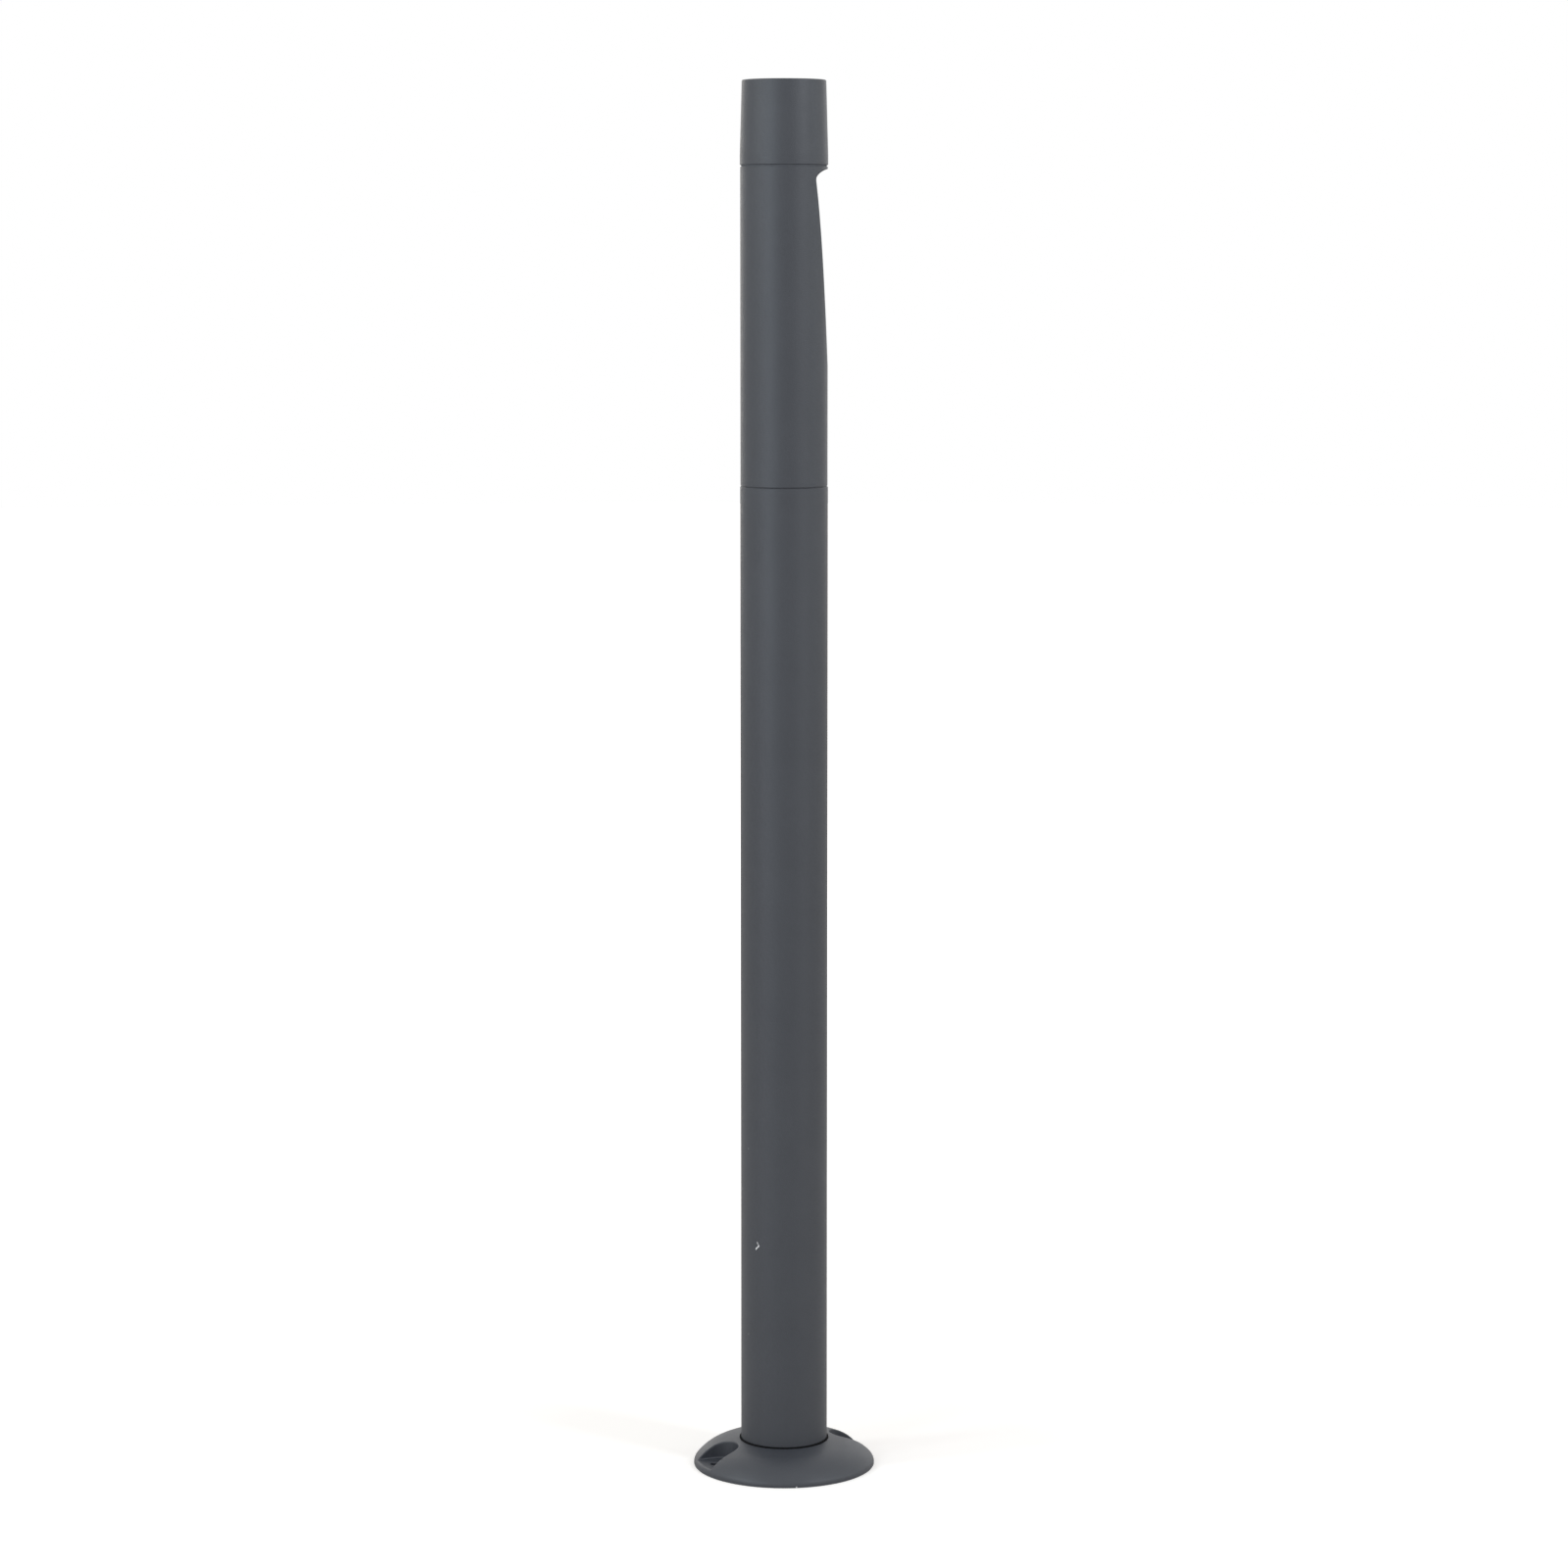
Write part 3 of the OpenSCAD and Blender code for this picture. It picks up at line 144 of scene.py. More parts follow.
def speck(tree, place, x, y, z, width):
    """A small round spot: 1 inside and 0 outside."""
    away = add(tree, "ShaderNodeVectorMath", {0: place, 1: (x * MM, y * MM, z * MM)}, "Value",
               operation="DISTANCE")
    return add(tree, "ShaderNodeMapRange", {
        "Value": away, "From Min": width * 0.4 * MM, "From Max": width * 0.6 * MM, "To Min": 1, "To Max": 0})


def chip(tree, place):
    """The missing flake: 1 where the metal is bare, less where a thin film is left, 0 outside."""
    along = add(tree, "ShaderNodeSeparateXYZ", {"Vector": place}).node.outputs
    up = add(tree, "ShaderNodeMapRange", {
        "Value": along["Z"], "From Min": CHIP_LOW * MM, "From Max": CHIP_HIGH * MM})
    middle, half_w = [add(tree, "ShaderNodeFloatCurve", {"Value": up}) for _ in range(2)]
    for curve, knots, start in ((middle, CHIP_MIDDLE, CHIP_X), (half_w, CHIP_HALF_W, CHIP_CLOSED)):
        points = curve.node.mapping.curves[0].points
        points[0].location, points[1].location = (0, knots[0][1] - start), (1, knots[-1][1] - start)
        for z, value in knots:
            points.new((z - CHIP_LOW) / (CHIP_HIGH - CHIP_LOW), value - start)
        curve.node.mapping.use_clip = False
        curve.node.mapping.update()
    middle = add(tree, "ShaderNodeMath", {0: middle, 1: MM, 2: CHIP_X * MM}, operation="MULTIPLY_ADD")
    from_middle = add(tree, "ShaderNodeMath", {
        0: add(tree, "ShaderNodeMath", {0: along["X"], 1: middle}, operation="SUBTRACT")},
        operation="ABSOLUTE")
    ragged = add(tree, "ShaderNodeMath", {
        0: from_middle, 1: wander(tree, place, CHIP_RAGGED_SIZE, -CHIP_RAGGED * MM, CHIP_RAGGED * MM)})
    inside = add(tree, "ShaderNodeMath", {
        0: add(tree, "ShaderNodeMath", {0: half_w, 1: MM, 2: CHIP_CLOSED * MM}, operation="MULTIPLY_ADD"),
        1: ragged}, operation="SUBTRACT")
    flake = add(tree, "ShaderNodeMapRange", {"Value": inside, "From Min": -0.05 * MM, "From Max": 0.12 * MM})
    front = add(tree, "ShaderNodeMath", {0: along["Y"], 1: CHIP_FRONT_Y * MM}, operation="LESS_THAN")
    flake = add(tree, "ShaderNodeMath", {0: flake, 1: front}, operation="MULTIPLY")
    depth = add(tree, "ShaderNodeMapRange", {
        "Value": along["Z"], "From Min": CHIP_GREYER[0] * MM, "From Max": CHIP_GREYER[1] * MM,
        "To Min": 1.0, "To Max": CHIP_GREYER[2]})
    return add(tree, "ShaderNodeMath", {0: flake, 1: depth}, operation="MULTIPLY")


def powder_coat(name, grain_mm, grain_depth_mm, edge_mm, specks, chipped=False):
    """Polyester powder coat, sprayed and baked on aluminium: a matt, deep bluish anthracite. Its fine
    pebbled skin spreads each lamp into a soft upright band, and it draws back from sharp edges, so each
    edge is softly rounded. The pebbles are about 0.3 mm and are drawn a little coarser to show."""
    material, tree, place = new_material(name)
    film = wander(tree, place, 40)
    colour = add(tree, "ShaderNodeMix", {
        0: film, 6: linear("#3b3e44"), 7: linear("#3e4147")}, 2, data_type="RGBA")
    roughness = wander(tree, place, 9, 0.435, 0.465)
    normal = add(tree, "ShaderNodeBump", {
        "Height": wander(tree, place, grain_mm), "Distance": grain_depth_mm * MM,
        "Normal": add(tree, "ShaderNodeBevel", {"Radius": edge_mm * MM}, samples=6)})
    marks = [speck(tree, place, *values) for values in specks]
    if chipped:
        marks.append(chip(tree, place))
    bare = marks[0]
    for mark in marks[1:]:
        bare = add(tree, "ShaderNodeMath", {0: bare, 1: mark}, operation="MAXIMUM")
    colour = add(tree, "ShaderNodeMix", {0: bare, 6: colour, 7: linear("#dcdcde")}, 2, data_type="RGBA")
    roughness = add(tree, "ShaderNodeMix", {0: bare, 2: roughness, 3: BARE_ROUGHNESS})
    normal = add(tree, "ShaderNodeBump", {
        "Height": bare, "Distance": COAT_THICKNESS * MM, "Normal": normal}, invert=True)
    add(tree, "ShaderNodeOutputMaterial", {"Surface": add(tree, "ShaderNodeBsdfPrincipled", {
        "Base Color": colour, "Roughness": roughness, "Normal": normal, "IOR": 1.5})})
    return material


def plain_finish(name, tones, patch_mm, roughness, grain_mm, grain_depth_mm, stretch=(1, 1, 1), **sockets):
    """A surface whose colour and gloss drift a little between two values, over a fine relief."""
    material, tree, place = new_material(name)
    place = add(tree, "ShaderNodeMapping", {"Vector": place, "Scale": stretch})
    colour = add(tree, "ShaderNodeMix", {
        0: wander(tree, place, patch_mm), 6: linear(tones[0]), 7: linear(tones[1])}, 2, data_type="RGBA")
    grain = wander(tree, place, grain_mm)
    values = {socket.replace("_", " "): value for socket, value in sockets.items()}
    add(tree, "ShaderNodeOutputMaterial", {"Surface": add(tree, "ShaderNodeBsdfPrincipled", {
        "Base Color": colour, "Roughness": wander(tree, place, patch_mm / 2, *roughness),
        "Normal": add(tree, "ShaderNodeBump", {"Height": grain, "Distance": grain_depth_mm * MM}), **values})})
    return material


def turned_finish(name, tones, roughness, spacing_mm, depth_mm, axis_x_mm=0.0):
    """Metal cut on a lathe: fine rings round an upright axis. The real rings are about 0.15 mm apart and
    are drawn wider here, so that they show."""
    material, tree, place = new_material(name)
    place = add(tree, "ShaderNodeMapping", {"Vector": place, "Location": (-axis_x_mm * MM, 0, 0)})
    rings = add(tree, "ShaderNodeTexWave", {
        "Vector": place, "Scale": per_ring(spacing_mm), "Distortion": 0.6, "Detail": 1.0},
        output="Fac", wave_type="RINGS", rings_direction="Z")
    colour = add(tree, "ShaderNodeMix", {
        0: rings, 6: linear(tones[0]), 7: linear(tones[1])}, 2, data_type="RGBA")
    add(tree, "ShaderNodeOutputMaterial", {"Surface": add(tree, "ShaderNodeBsdfPrincipled", {
        "Base Color": colour, "Metallic": 1.0, "Roughness": wander(tree, place, 3, *roughness),
        "Normal": add(tree, "ShaderNodeBump", {"Height": rings, "Distance": depth_mm * MM})})})
    return material


def banded_sheath(name, tones, band_mm, roughness):
    """A cable sheath in lengths of two colours."""
    material, tree, place = new_material(name)
    bands = add(tree, "ShaderNodeTexWave", {"Vector": place, "Scale": per_ring(band_mm)}, output="Fac",
                bands_direction="DIAGONAL", wave_profile="SIN")
    second = add(tree, "ShaderNodeMapRange", {"Value": bands, "From Min": 0.46, "From Max": 0.54})
    add(tree, "ShaderNodeOutputMaterial", {"Surface": add(tree, "ShaderNodeBsdfPrincipled", {
        "Base Color": add(tree, "ShaderNodeMix", {
            0: second, 6: linear(tones[0]), 7: linear(tones[1])}, 2, data_type="RGBA"),
        "Roughness": wander(tree, place, 3, *roughness), "IOR": 1.53})})
    return material


# Finishes by material slot. Plastics and rubber have their own IOR; metals keep the default one.

casting_coat = powder_coat("powder_coat_on_casting", 0.6, 0.045, 0.35, FOOT_SPECKS)
extrusion_coat = powder_coat("powder_coat_on_extrusion", 0.5, 0.035, 0.1, POST_SPECKS, chipped=True)
SLOT_FINISH = {
    "coated_casting": casting_coat,
    "coated_extrusion": extrusion_coat,
    # Black oxide on turned steel: near black, with a dull metal sheen
    "blackened_screw": plain_finish(
        "black_oxide_steel", ("#2a2a2c", "#343437"), 2.0, (0.38, 0.50), 0.3, 0.004, Metallic=1.0),
    # Moulded EPDM rubber: deep grey black, dull, with the mould's fine skin
    "black_rubber": plain_finish(
        "moulded_epdm_rubber", ("#17181a", "#1e1f21"), 5.0, (0.66, 0.78), 0.7, 0.012, IOR=1.52),
    # Acrylic blasted on the inside: milky, it lets light through and hides what is behind it
    "frosted_lens": plain_finish(
        "frosted_acrylic", ("#f3f4f2", "#eceeec"), 8.0, (0.32, 0.40), 0.4, 0.004,
        Transmission_Weight=0.5, IOR=1.49),
    # Bent aluminium sheet as it left the rolling mill: pale, with faint lines along the sheet
    "bare_aluminium": plain_finish(
        "rolled_aluminium_sheet", ("#cfd0d2", "#c3c5c8"), 3.0, (0.30, 0.42), 0.5, 0.004,
        stretch=(0.08, 1, 1), Metallic=1.0),
    # Aluminium spun and polished to a mirror that is a little soft
    "polished_aluminium": turned_finish(
        "polished_spun_aluminium", ("#e8e9ea", "#e1e2e4"), (0.09, 0.15), 0.6, 0.001, axis_x_mm=11.0),
    # Zinc plate with clear passivation: silver with a faint warm and blue cast
    "zinc_steel": plain_finish(
        "zinc_plated_steel", ("#c8c5bc", "#bcc1c6"), 1.6, (0.26, 0.38), 0.3, 0.003, Metallic=1.0),
    # Phosphor in cast silicone: flat, strong yellow with fine grains
    "chip_phosphor": plain_finish(
        "phosphor_silicone", ("#e6c63c", "#efd65c"), 0.8, (0.42, 0.54), 0.3, 0.006, IOR=1.41),
    # White solder mask: smooth printed lacquer over copper
    "white_board": plain_finish(
        "white_solder_mask", ("#eceeec", "#e2e5e4"), 4.0, (0.26, 0.34), 0.8, 0.003, IOR=1.5),
    # Filled silicone sheet: dull bluish grey
    "grey_pad": plain_finish(
        "filled_silicone_sheet", ("#8f959b", "#868c93"), 3.0, (0.74, 0.86), 0.5, 0.008, IOR=1.43),
    # Polycarbonate from a spark-eroded mould: off-white with an even fine grain
    "pale_housing": plain_finish(
        "moulded_polycarbonate", ("#dfdfda", "#d7d7d1"), 12.0, (0.44, 0.54), 0.6, 0.012, IOR=1.58),
    # Turned brass: yellow and bright
    "brass": plain_finish(
        "turned_brass", ("#c9a75a", "#bb9a50"), 1.5, (0.24, 0.34), 0.3, 0.003, Metallic=1.0),
    # Cable sheaths of extruded PVC: satin, with faint waves along the run
    "white_sheath": plain_finish(
        "white_pvc_sheath", ("#e4e3de", "#dad9d3"), 6.0, (0.40, 0.50), 0.8, 0.010, IOR=1.53),
    "black_sheath": plain_finish(
        "black_pvc_sheath", ("#1b1b1d", "#232325"), 6.0, (0.42, 0.54), 0.8, 0.010, IOR=1.53),
    # Moulded polyamide: black and satin
    "black_nylon": plain_finish(
        "moulded_black_polyamide", ("#1b1c1e", "#232427"), 6.0, (0.38, 0.48), 0.8, 0.010, IOR=1.53),
    # Earth lead: PVC in green and yellow, in lengths of about 4 mm
    "green_sheath": banded_sheath("green_yellow_pvc_sheath", ("#2f8a45", "#e3cf3a"), 4.0, (0.40, 0.50)),
}

# Near-black, dull rubber cord, painted shade: it stands in for the shadow in the gap round the post, so it is
# the darkest line on the post
gap_shade_cord = plain_finish(
    "painted_gap_shade_cord", ("#0c0c0d", "#111112"), 3.0, (0.90, 1.00), 0.5, 0.020, IOR=1.22)
# Nodes that differ from the rest of their slot: the ring under the cap is greyer than the other rubber, painted
# light that makes the shaded seam under the cap less dark, and two parts are cut on a lathe where the others
# are bent sheet
NODE_FINISH = {
    "cap_gasket": plain_finish(
        "lightened_gasket_rubber", ("#4b4e54", "#515459"), 5.0, (0.60, 0.70), 0.7, 0.010, IOR=1.43),
    "lens_ring": turned_finish("turned_aluminium_ring", ("#d4d5d6", "#c8c9cb"), (0.24, 0.34), 0.4, 0.003, 11.0),
    "led_carrier": turned_finish("turned_aluminium_plate", ("#d2d3d4", "#c6c7c9"), (0.28, 0.38), 0.4, 0.003),
}
for row in frame["record"]["subparts"]:
    mesh = frame["nodes"][row["node"]].data
    mesh.materials.clear()
    mesh.materials.append(NODE_FINISH.get(row["node"], SLOT_FINISH[row["material_slot"]]))


# The cast foot, skinned from a form of distances in millimetres so that each edge has its cast radius

FOOT_R = 65.8
FOOT_RIM_H = 3.0
FOOT_CROWN_H = 19.4
FOOT_SHOULDER_R = 35.2
FOOT_CROWN_SLOPE = math.radians(9.5)
FOOT_WALL = 3.6
FOOT_WEB_Z = 12.5
POST_R = 31.3
POST_FOOT_Z = 17.4
# The solid's groove has 0.3 mm of clearance. This one is wider, so that the black line shows as it does
# in the photo.
GROOVE_R = POST_R + 0.55
SPIGOT_R = 28.65
SPIGOT_BORE_R = 24.65
SPIGOT_TOP_Z = 58.4
LUG_DEGREES = (50, 130, 270)
LUG_REACH = 21.5
LUG_R = 4.0
LUG_L = 12.0
LUG_BORE_R = 1.55
LUG_BORE_L = 10.0
POST_SCREW_DEGREES = (65, 115)
POST_SCREW_Z = 38.4
POST_SCREW_HOLE_R = 2.05
GLAND_HOLE_R = 10.1
POCKET_TURN = math.radians(22.8)
POCKET_HALF_W = 13.0
POCKET_INNER_R = 37.0
POCKET_FLOOR = 5.0
POCKET_WALL = 3.0
ANCHOR_R = 54.0
ANCHOR_HOLE_R = 3.5
ANCHOR_CUT_TOP = 9.0
RIB_HALF_T = 1.5
RIB_RING_R = 17.0
RIB_CLEAR = 0.6
# How far a form reaches past the one that it joins or cuts
LAP = 1.0
# Radii that casting and coating leave on the edges
RIM_ROUND = 0.9
POCKET_ROUND = 0.8
POCKET_FILLET = 1.2
INNER_FILLET = 1.0
SMALL_ROUND = 0.4


def both(a, b, round_r=0.0):
    """The part that two forms share, with the edge between them rounded."""
    if round_r == 0:
        return np.maximum(a, b)
    return np.minimum(np.maximum(a, b), -round_r) + np.hypot(
        np.maximum(a + round_r, 0), np.maximum(b + round_r, 0))


def either(a, b, fillet=0.0):
    """Two forms joined, with a fillet in the corner between them."""
    return -both(-a, -b, fillet)


def slab(at, middle, half):
    """A layer between two parallel faces."""
    return np.abs(at - middle) - half


def turned(x, y, angle):
    """Distances along and across a direction on the ground."""
    return math.cos(angle) * x + math.sin(angle) * y, math.cos(angle) * y - math.sin(angle) * x


def pocket_plan(along, across):
    """A pocket seen from above: its inner end is round and its outer end is open."""
    past_end = along - POCKET_INNER_R - POCKET_HALF_W
    return np.where(past_end < 0, np.hypot(past_end, across), np.abs(across)) - POCKET_HALF_W


def foot_shell(r, z):
    """The dome's outside, and the hollow under it."""
    down = (math.cos(FOOT_CROWN_SLOPE), -math.sin(FOOT_CROWN_SLOPE))
    up = (math.sin(FOOT_CROWN_SLOPE), math.cos(FOOT_CROWN_SLOPE))
    start_r, start_z = POST_R - FOOT_SHOULDER_R * up[0], FOOT_CROWN_H - FOOT_SHOULDER_R * up[1]
    gap_r, gap_z = start_r - FOOT_R, start_z - FOOT_RIM_H
    along = gap_r * down[0] + gap_z * down[1]
    run = -along - math.sqrt(along ** 2 - gap_r ** 2 - gap_z ** 2 + FOOT_SHOULDER_R ** 2)
    dr, dz = r - (start_r + run * down[0]), z - (start_z + run * down[1])
    arc = np.hypot(dr, dz) - FOOT_SHOULDER_R
    crown = dr * up[0] + dz * up[1] - FOOT_SHOULDER_R
    dome = np.where(dr * down[0] + dz * down[1] > 0, arc, crown)
    dome = both(both(dome, r - FOOT_R, RIM_ROUND), -z, SMALL_ROUND)
    hollow = both(np.minimum(arc + FOOT_WALL, dr), z - FOOT_WEB_Z, INNER_FILLET)
    return dome, both(hollow, r - FOOT_R + FOOT_WALL, SMALL_ROUND)


def lug_middles():
    """The places of the screw lugs inside the spigot."""
    for degrees in LUG_DEGREES:
        angle = math.radians(degrees)
        yield LUG_REACH * math.cos(angle), LUG_REACH * math.sin(angle)


def foot_form(x, y, z):
    """The whole casting: below zero inside the metal."""
    r = np.hypot(x, y)
    pockets = [turned(x, y, POCKET_TURN + side) for side in (0, math.pi)]
    dome, hollow = foot_shell(r, z)
    under = either(-hollow, both(slab(r, RIB_RING_R + RIB_HALF_T, RIB_HALF_T), RIB_CLEAR - z), INNER_FILLET)
    for side in (0, math.pi):
        for step in (1, 2, 3):
            along, across = turned(x, y, POCKET_TURN + side + step * math.pi / 4)
            rib = both(both(slab(across, 0, RIB_HALF_T), RIB_CLEAR - z, SMALL_ROUND), RIB_RING_R - along)
            under = either(under, rib, INNER_FILLET)
    for along, across in pockets:
        under = either(under, pocket_plan(along, across) - POCKET_WALL, INNER_FILLET)
    form = both(dome, under, SMALL_ROUND)

    spigot = slab(r, (SPIGOT_R + SPIGOT_BORE_R) / 2, (SPIGOT_R - SPIGOT_BORE_R) / 2)
    spigot = both(both(spigot, z - SPIGOT_TOP_Z, SMALL_ROUND), FOOT_WEB_Z + LAP - z)
    for lug_x, lug_y in lug_middles():
        lug = np.hypot(x - lug_x, y - lug_y) - LUG_R
        lug = both(lug, slab(z, SPIGOT_TOP_Z - LUG_L / 2, LUG_L / 2), SMALL_ROUND)
        spigot = either(spigot, lug, SMALL_ROUND)
    form = np.minimum(form, spigot)

    above_seat = POST_FOOT_Z - z
    lip_side = both(slab(r, GROOVE_R - LAP, LAP), above_seat)
    spigot_side = both(slab(r, (SPIGOT_R + POST_R) / 2, (POST_R - SPIGOT_R) / 2), above_seat)
    well = both(both(r - SPIGOT_BORE_R, above_seat), z - SPIGOT_TOP_Z + LUG_L)
    form = both(both(both(form, -lip_side, SMALL_ROUND), -spigot_side), -well)
    for along, across in pockets:
        form = both(form, -both(pocket_plan(along, across), POCKET_FLOOR - z, POCKET_FILLET), POCKET_ROUND)
        hole = np.hypot(along - ANCHOR_R, across) - ANCHOR_HOLE_R
        form = both(form, -both(hole, z - ANCHOR_CUT_TOP), SMALL_ROUND)
    form = both(form, -both(r - GLAND_HOLE_R, z - 2 * FOOT_WEB_Z), SMALL_ROUND)
    for lug_x, lug_y in lug_middles():
        bore = np.hypot(x - lug_x, y - lug_y) - LUG_BORE_R
        form = both(form, -both(bore, SPIGOT_TOP_Z - LUG_BORE_L - z))
    for degrees in POST_SCREW_DEGREES:
        along, across = turned(x, y, math.radians(degrees))
        form = both(form, -both(np.hypot(across, z - POST_SCREW_Z) - POST_SCREW_HOLE_R, -along))
    return form


# Rounds in which points are drawn onto a form, and the least steepness that a step reckons with, which
# keeps it from running off at an edge
SKIN_ROUNDS = 3
LEAST_STEEPNESS = 0.2
# Normals are read over a wider reach than the steps of the points, so that they turn evenly round an edge
STEP_REACH = 0.02
NORMAL_REACH = 0.1


def slopes(form, points, reach=STEP_REACH):
    """How a form rises along X, Y and Z at each point."""
    steps = np.eye(3) * reach
    return np.stack([form(*(points + s).T) - form(*(points - s).T) for s in steps], 1) / (2 * reach)


def spaced(*stretches):
    """Grid places along one direction: each stretch has its start, end and step."""
    places = [np.linspace(a, b, round((b - a) / step), endpoint=False) for a, b, step in stretches]
    return np.append(np.concatenate(places), stretches[-1][1])


def skin(form, radii, degrees, heights):
    """The closed skin of a form round the upright axis, on a grid of rings so that round edges stay
    clean: a point in each grid cell that the skin crosses, drawn onto the form, and a quad around each
    grid edge that it cuts. The form is open air at the innermost ring and at both ends, and the degrees
    go once round."""
    angles = np.radians(degrees)
    turns = len(angles) - 1
    r, angle, z = radii[:, None, None], angles[None, :-1, None], heights[None, None, :]
    inside = form(r * np.cos(angle), r * np.sin(angle), z)
    total, count = np.zeros((*inside.shape, 3)), np.zeros(inside.shape)
    cuts = []
    for axis in range(3):
        onward = np.roll(inside, -1, axis)
        at = np.argwhere((inside < 0) != (onward < 0))
        here, there = inside[tuple(at.T)], onward[tuple(at.T)]
        point = at.astype(float)
        point[:, axis] += here / (here - there)
        shares = []
        for back_b, back_c in ((1, 1), (0, 1), (0, 0), (1, 0)):
            share, place = at.copy(), point.copy()
            share[:, (axis + 1) % 3] -= back_b
            share[:, (axis + 2) % 3] -= back_c
            behind = share[:, 1] < 0
            share[behind, 1] += turns
            place[behind, 1] += turns
            np.add.at(total, tuple(share.T), place)
            np.add.at(count, tuple(share.T), 1)
            shares.append(share)
        cuts.append((shares, here < 0))
    used = np.argwhere(count > 0)
    number = np.zeros(inside.shape, int)
    number[tuple(used.T)] = np.arange(len(used))
    steps = (total[tuple(used.T)] / count[tuple(used.T)][:, None]).T
    r, angle, z = [np.interp(step, np.arange(len(at)), at) for step, at in zip(steps, (radii, angles, heights))]
    points = np.stack([r * np.cos(angle), r * np.sin(angle), z], 1)
    for _ in range(SKIN_ROUNDS):
        rise = slopes(form, points)
        steepness = np.maximum((rise ** 2).sum(1), LEAST_STEEPNESS)
        points -= form(*points.T)[:, None] * rise / steepness[:, None]
    quads = []
    for shares, outwards in cuts:
        quad = np.stack([number[tuple(share.T)] for share in shares], 1)
        quads.append(np.where(outwards[:, None], quad, quad[:, ::-1]))
    return points, np.concatenate(quads)


# The grid is finest at the pockets, the rim and the groove round the post
foot_points, foot_quads = skin(
    foot_form,
    spaced((8, 30, 1.3), (30, 67, 0.6)),
    spaced((-3.2, 48.8, 0.8), (48.8, 176.8, 2.3), (176.8, 228.8, 0.8), (228.8, 356.8, 2.3)),
    spaced((-1, 20.6, 0.6), (20.6, 60, 1.5)))
foot_normals = slopes(foot_form, foot_points, NORMAL_REACH)
foot_normals /= np.linalg.norm(foot_normals, axis=1)[:, None]
foot_mesh = bpy.data.meshes.new("foot_casting")
foot_mesh.from_pydata(foot_points * MM, [], foot_quads)
foot_mesh.materials.append(casting_coat)
foot_mesh.shade_smooth()
foot_mesh.normals_split_custom_set_from_vertices(foot_normals)
foot_casting = bpy.data.objects.new("foot_casting", foot_mesh)
bpy.context.scene.collection.objects.link(foot_casting)
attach(foot_casting, "root")
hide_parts("foot")


# A near-black rubber cord in the gap round the post is painted shade: it stands in for the shadow in that gap
# and shows as the black line on top of the foot

CORD_RING_R = POST_R + 0.45
CORD_R = 0.75
CORD_Z = FOOT_CROWN_H + 0.1
CORD_STEPS_ROUND = 192
CORD_SECTION_STEPS = 16
cord = bpy.data.node_groups.new("cord_ring", "GeometryNodeTree")
ring_inputs = {
    name: cord.interface.new_socket(name=name, in_out="INPUT", socket_type="NodeSocketFloat").identifier
    for name in ("Ring radius", "Cord radius", "Height")}
cord.interface.new_socket(name="Geometry", in_out="OUTPUT", socket_type="NodeSocketGeometry")
given = cord.nodes.new("NodeGroupInput").outputs
path = add(cord, "GeometryNodeCurvePrimitiveCircle", {
    "Resolution": CORD_STEPS_ROUND, "Radius": given["Ring radius"]})
section = add(cord, "GeometryNodeCurvePrimitiveCircle", {
    "Resolution": CORD_SECTION_STEPS, "Radius": given["Cord radius"]})
ring = add(cord, "GeometryNodeCurveToMesh", {"Curve": path, "Profile Curve": section})
ring = add(cord, "GeometryNodeTransform", {
    "Geometry": ring, "Translation": add(cord, "ShaderNodeCombineXYZ", {"Z": given["Height"]})})
ring = add(cord, "GeometryNodeRealizeInstances", {"Geometry": add(cord, "GeometryNodeSetShadeSmooth", {
    "Geometry": ring})})
add(cord, "NodeGroupOutput", {"Geometry": add(cord, "GeometryNodeSetMaterial", {
    "Geometry": ring, "Material": gap_shade_cord})})
start = bpy.data.objects.new("cord_start", bpy.data.meshes.new("cord_start"))
bpy.context.scene.collection.objects.link(start)
maker = start.modifiers.new("cord_ring", "NODES")
maker.node_group = cord
for name, size_mm in (("Ring radius", CORD_RING_R), ("Cord radius", CORD_R), ("Height", CORD_Z)):
    maker[ring_inputs[name]] = size_mm * MM
cord_mesh = bpy.data.meshes.new_from_object(start.evaluated_get(bpy.context.evaluated_depsgraph_get()))
bpy.data.objects.remove(start)
# This ring is painted shade for the gap round the post
gap_shade_ring = bpy.data.objects.new("gap_shade_ring", cord_mesh)
bpy.context.scene.collection.objects.link(gap_shade_ring)
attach(gap_shade_ring, "root")


# Floor and sky: a pale floor that keeps the shadow, and white all around for camera and gloss

FLOOR_R = 12.0
FLOOR_SIDES = 96
# The floor glows for the camera alone: less near the post, where the shadow is to show, and more far away
FLOOR_GLOW_NEAR, FLOOR_GLOW_FAR = 0.42, 1.0
FLOOR_GLOW_FROM, FLOOR_GLOW_TO = 0.2, 0.9
floor_mesh = bpy.data.meshes.new("studio_floor")
corners = [i * 2 * math.pi / FLOOR_SIDES for i in range(FLOOR_SIDES)]
floor_mesh.from_pydata(
    [(FLOOR_R * math.cos(a), FLOOR_R * math.sin(a), 0.0) for a in corners], [], [range(FLOOR_SIDES)])
studio_floor = bpy.data.objects.new("studio_floor", floor_mesh)
bpy.context.scene.collection.objects.link(studio_floor)
paper = bpy.data.materials.new("white_paper_floor")
paper.use_nodes = True
tree = paper.node_tree
tree.nodes.clear()
seen = add(tree, "ShaderNodeLightPath", output="Is Camera Ray")
matt = add(tree, "ShaderNodeBsdfDiffuse", {"Color": linear("#ebe9e6")})
away = add(tree, "ShaderNodeVectorMath", {
    0: add(tree, "ShaderNodeTexCoord", output="Object")}, "Value", operation="LENGTH")
far_glow = add(tree, "ShaderNodeMapRange", {
    "Value": away, "From Min": FLOOR_GLOW_FROM, "From Max": FLOOR_GLOW_TO,
    "To Min": FLOOR_GLOW_NEAR, "To Max": FLOOR_GLOW_FAR})
strength = add(tree, "ShaderNodeMath", {0: seen, 1: far_glow}, operation="MULTIPLY")
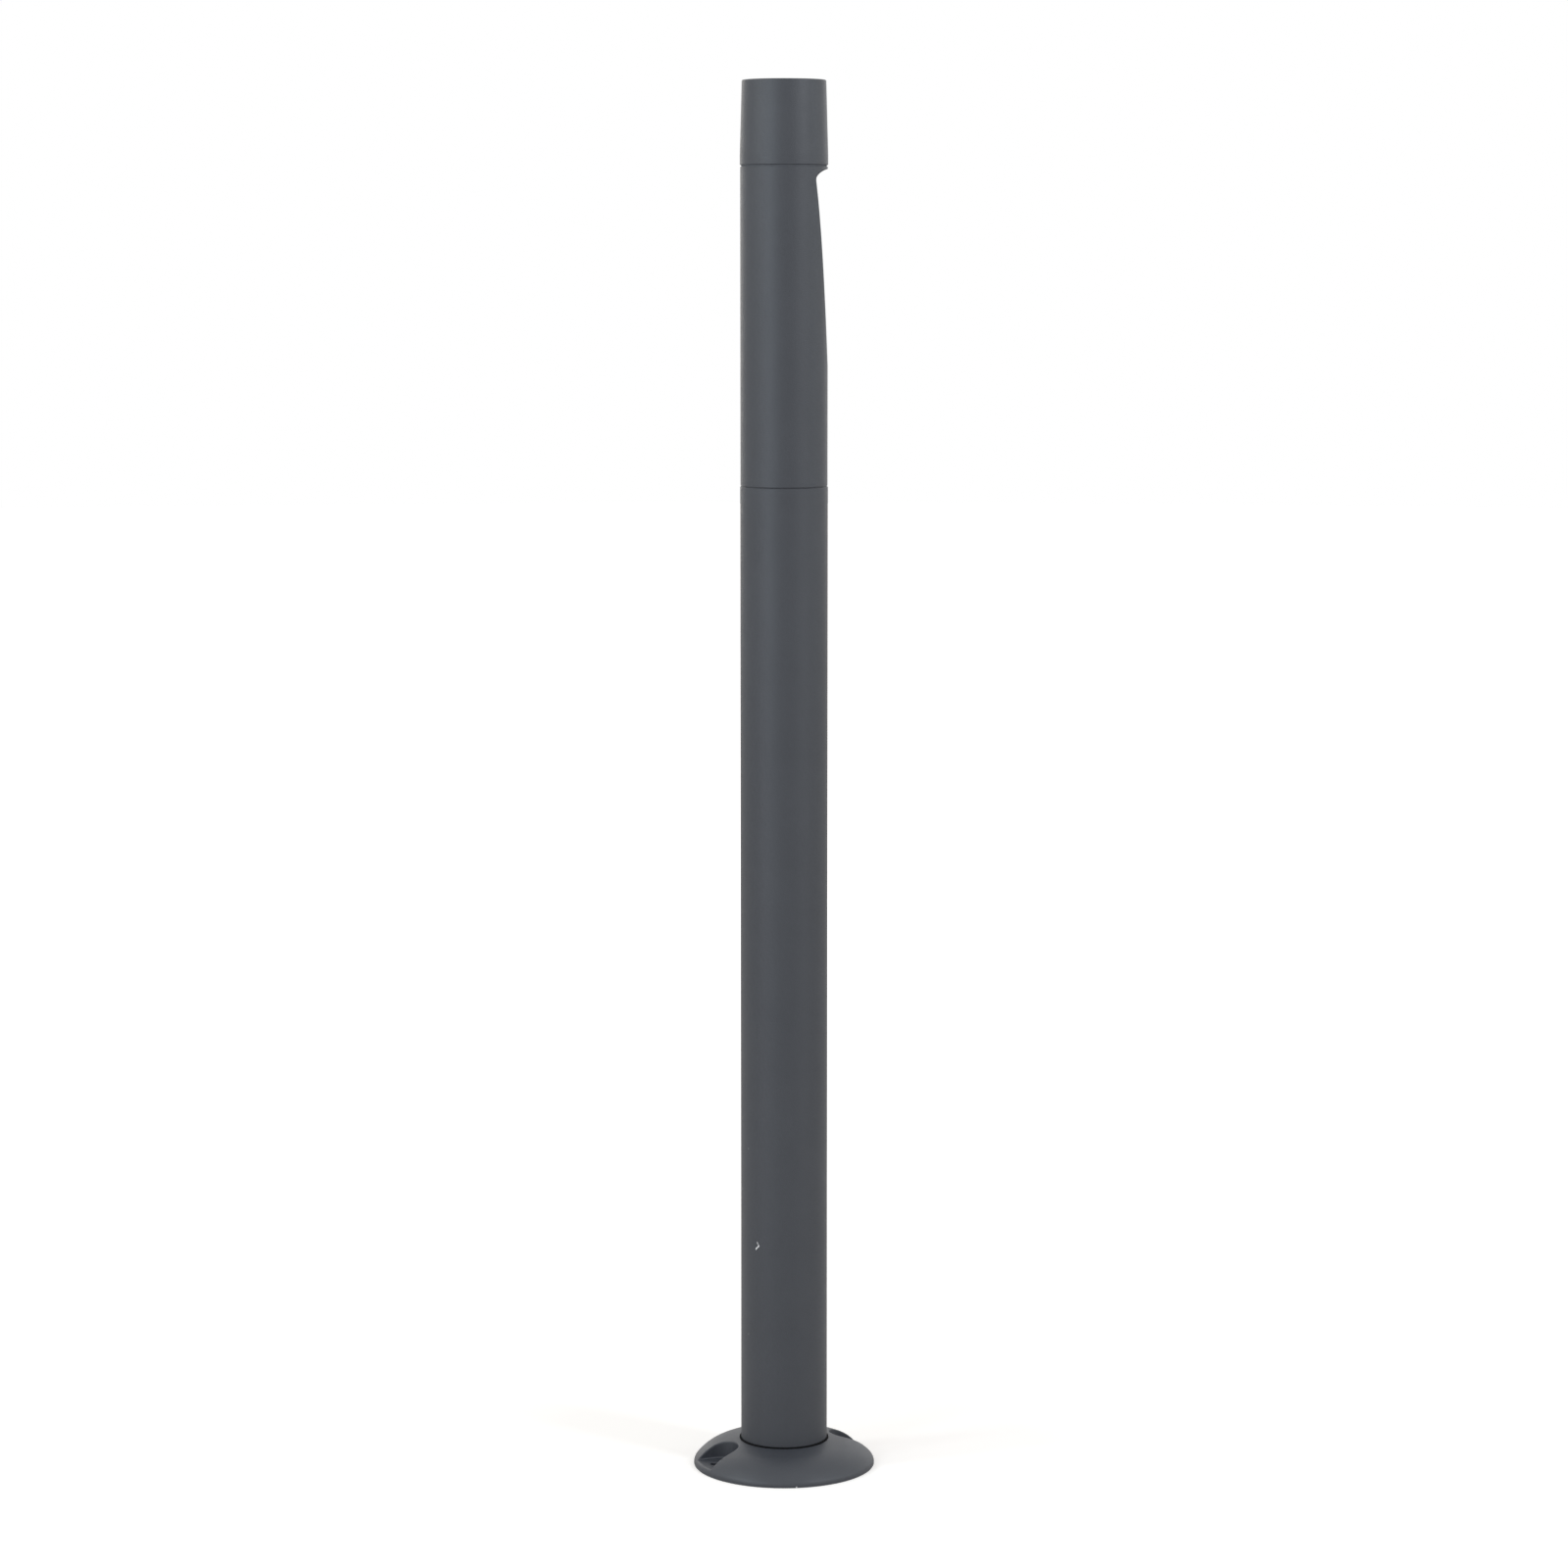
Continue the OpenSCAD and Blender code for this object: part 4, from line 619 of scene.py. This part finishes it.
glow = add(tree, "ShaderNodeEmission", {"Color": (1, 1, 1, 1), "Strength": strength})
add(tree, "ShaderNodeOutputMaterial", {"Surface": add(tree, "ShaderNodeAddShader", {0: matt, 1: glow})})
floor_mesh.materials.append(paper)

world = bpy.data.worlds.new("white_studio")
bpy.context.scene.world = world
world.use_nodes = True
tree = world.node_tree
tree.nodes.clear()
# Matt surfaces receive half of the white that the camera and gloss see, with a trace of warmth
sky = add(tree, "ShaderNodeMix", {
    0: add(tree, "ShaderNodeLightPath", output="Is Diffuse Ray"), 6: linear("#ffffff"), 7: linear("#bebab7")},
    2, data_type="RGBA")
add(tree, "ShaderNodeOutputWorld", {"Surface": add(tree, "ShaderNodeBackground", {"Color": sky})})

# Soft lamps, all at the same distance from the post: name, degrees to the right of the camera, height,
# width and height of the panel, the height that it aims at, watts and tint. Those in front of the post
# draw its two soft upright bands.
LAMP_REACH = 2.2
LAMPS = [
    ("left_high", -70, 1.75, 0.35, 0.7, 1.0, 11.3, "#f2fdff"),
    ("left_key", -51, 1.75, 0.35, 0.7, 1.0, 4.4, "#e8f5ff"),
    ("left_front", -35, 1.05, 0.35, 0.7, 1.05, 7.4, "#e2f3ff"),
    ("left_low", -51, 0.35, 0.35, 0.7, 0.35, 2.3, "#f2eeff"),
    ("right_key", 53, 1.75, 0.35, 0.7, 1.0, 16.0, "#eef6ff"),
    ("right_low", 53, 0.35, 0.35, 0.7, 0.35, 1.8, "#f0f5ff"),
    ("right_side", 90, 1.05, 0.35, 0.7, 1.05, 2.5, "#e4f8ff"),
    ("back_right", 150, 1.2, 0.7, 1.4, 0.7, 1.3, "#ffffff"),
    ("back_left", -150, 1.2, 0.7, 1.4, 0.7, 3.7, "#fff9ef"),
]
for name, degrees, height, width, panel_h, aim_h, watts, tint in LAMPS:
    data = bpy.data.lights.new(name, "AREA")
    data.shape, data.size, data.size_y = "RECTANGLE", width, panel_h
    data.energy, data.color = watts, linear(tint)[:3]
    lamp = bpy.data.objects.new(name, data)
    bpy.context.scene.collection.objects.link(lamp)
    angle = math.radians(degrees)
    lamp.location = (LAMP_REACH * math.sin(angle), -LAMP_REACH * math.cos(angle), height)
    lamp.rotation_euler = (Vector((0, 0, aim_h)) - lamp.location).to_track_quat("-Z", "Y").to_euler()
    lamp.visible_camera = False
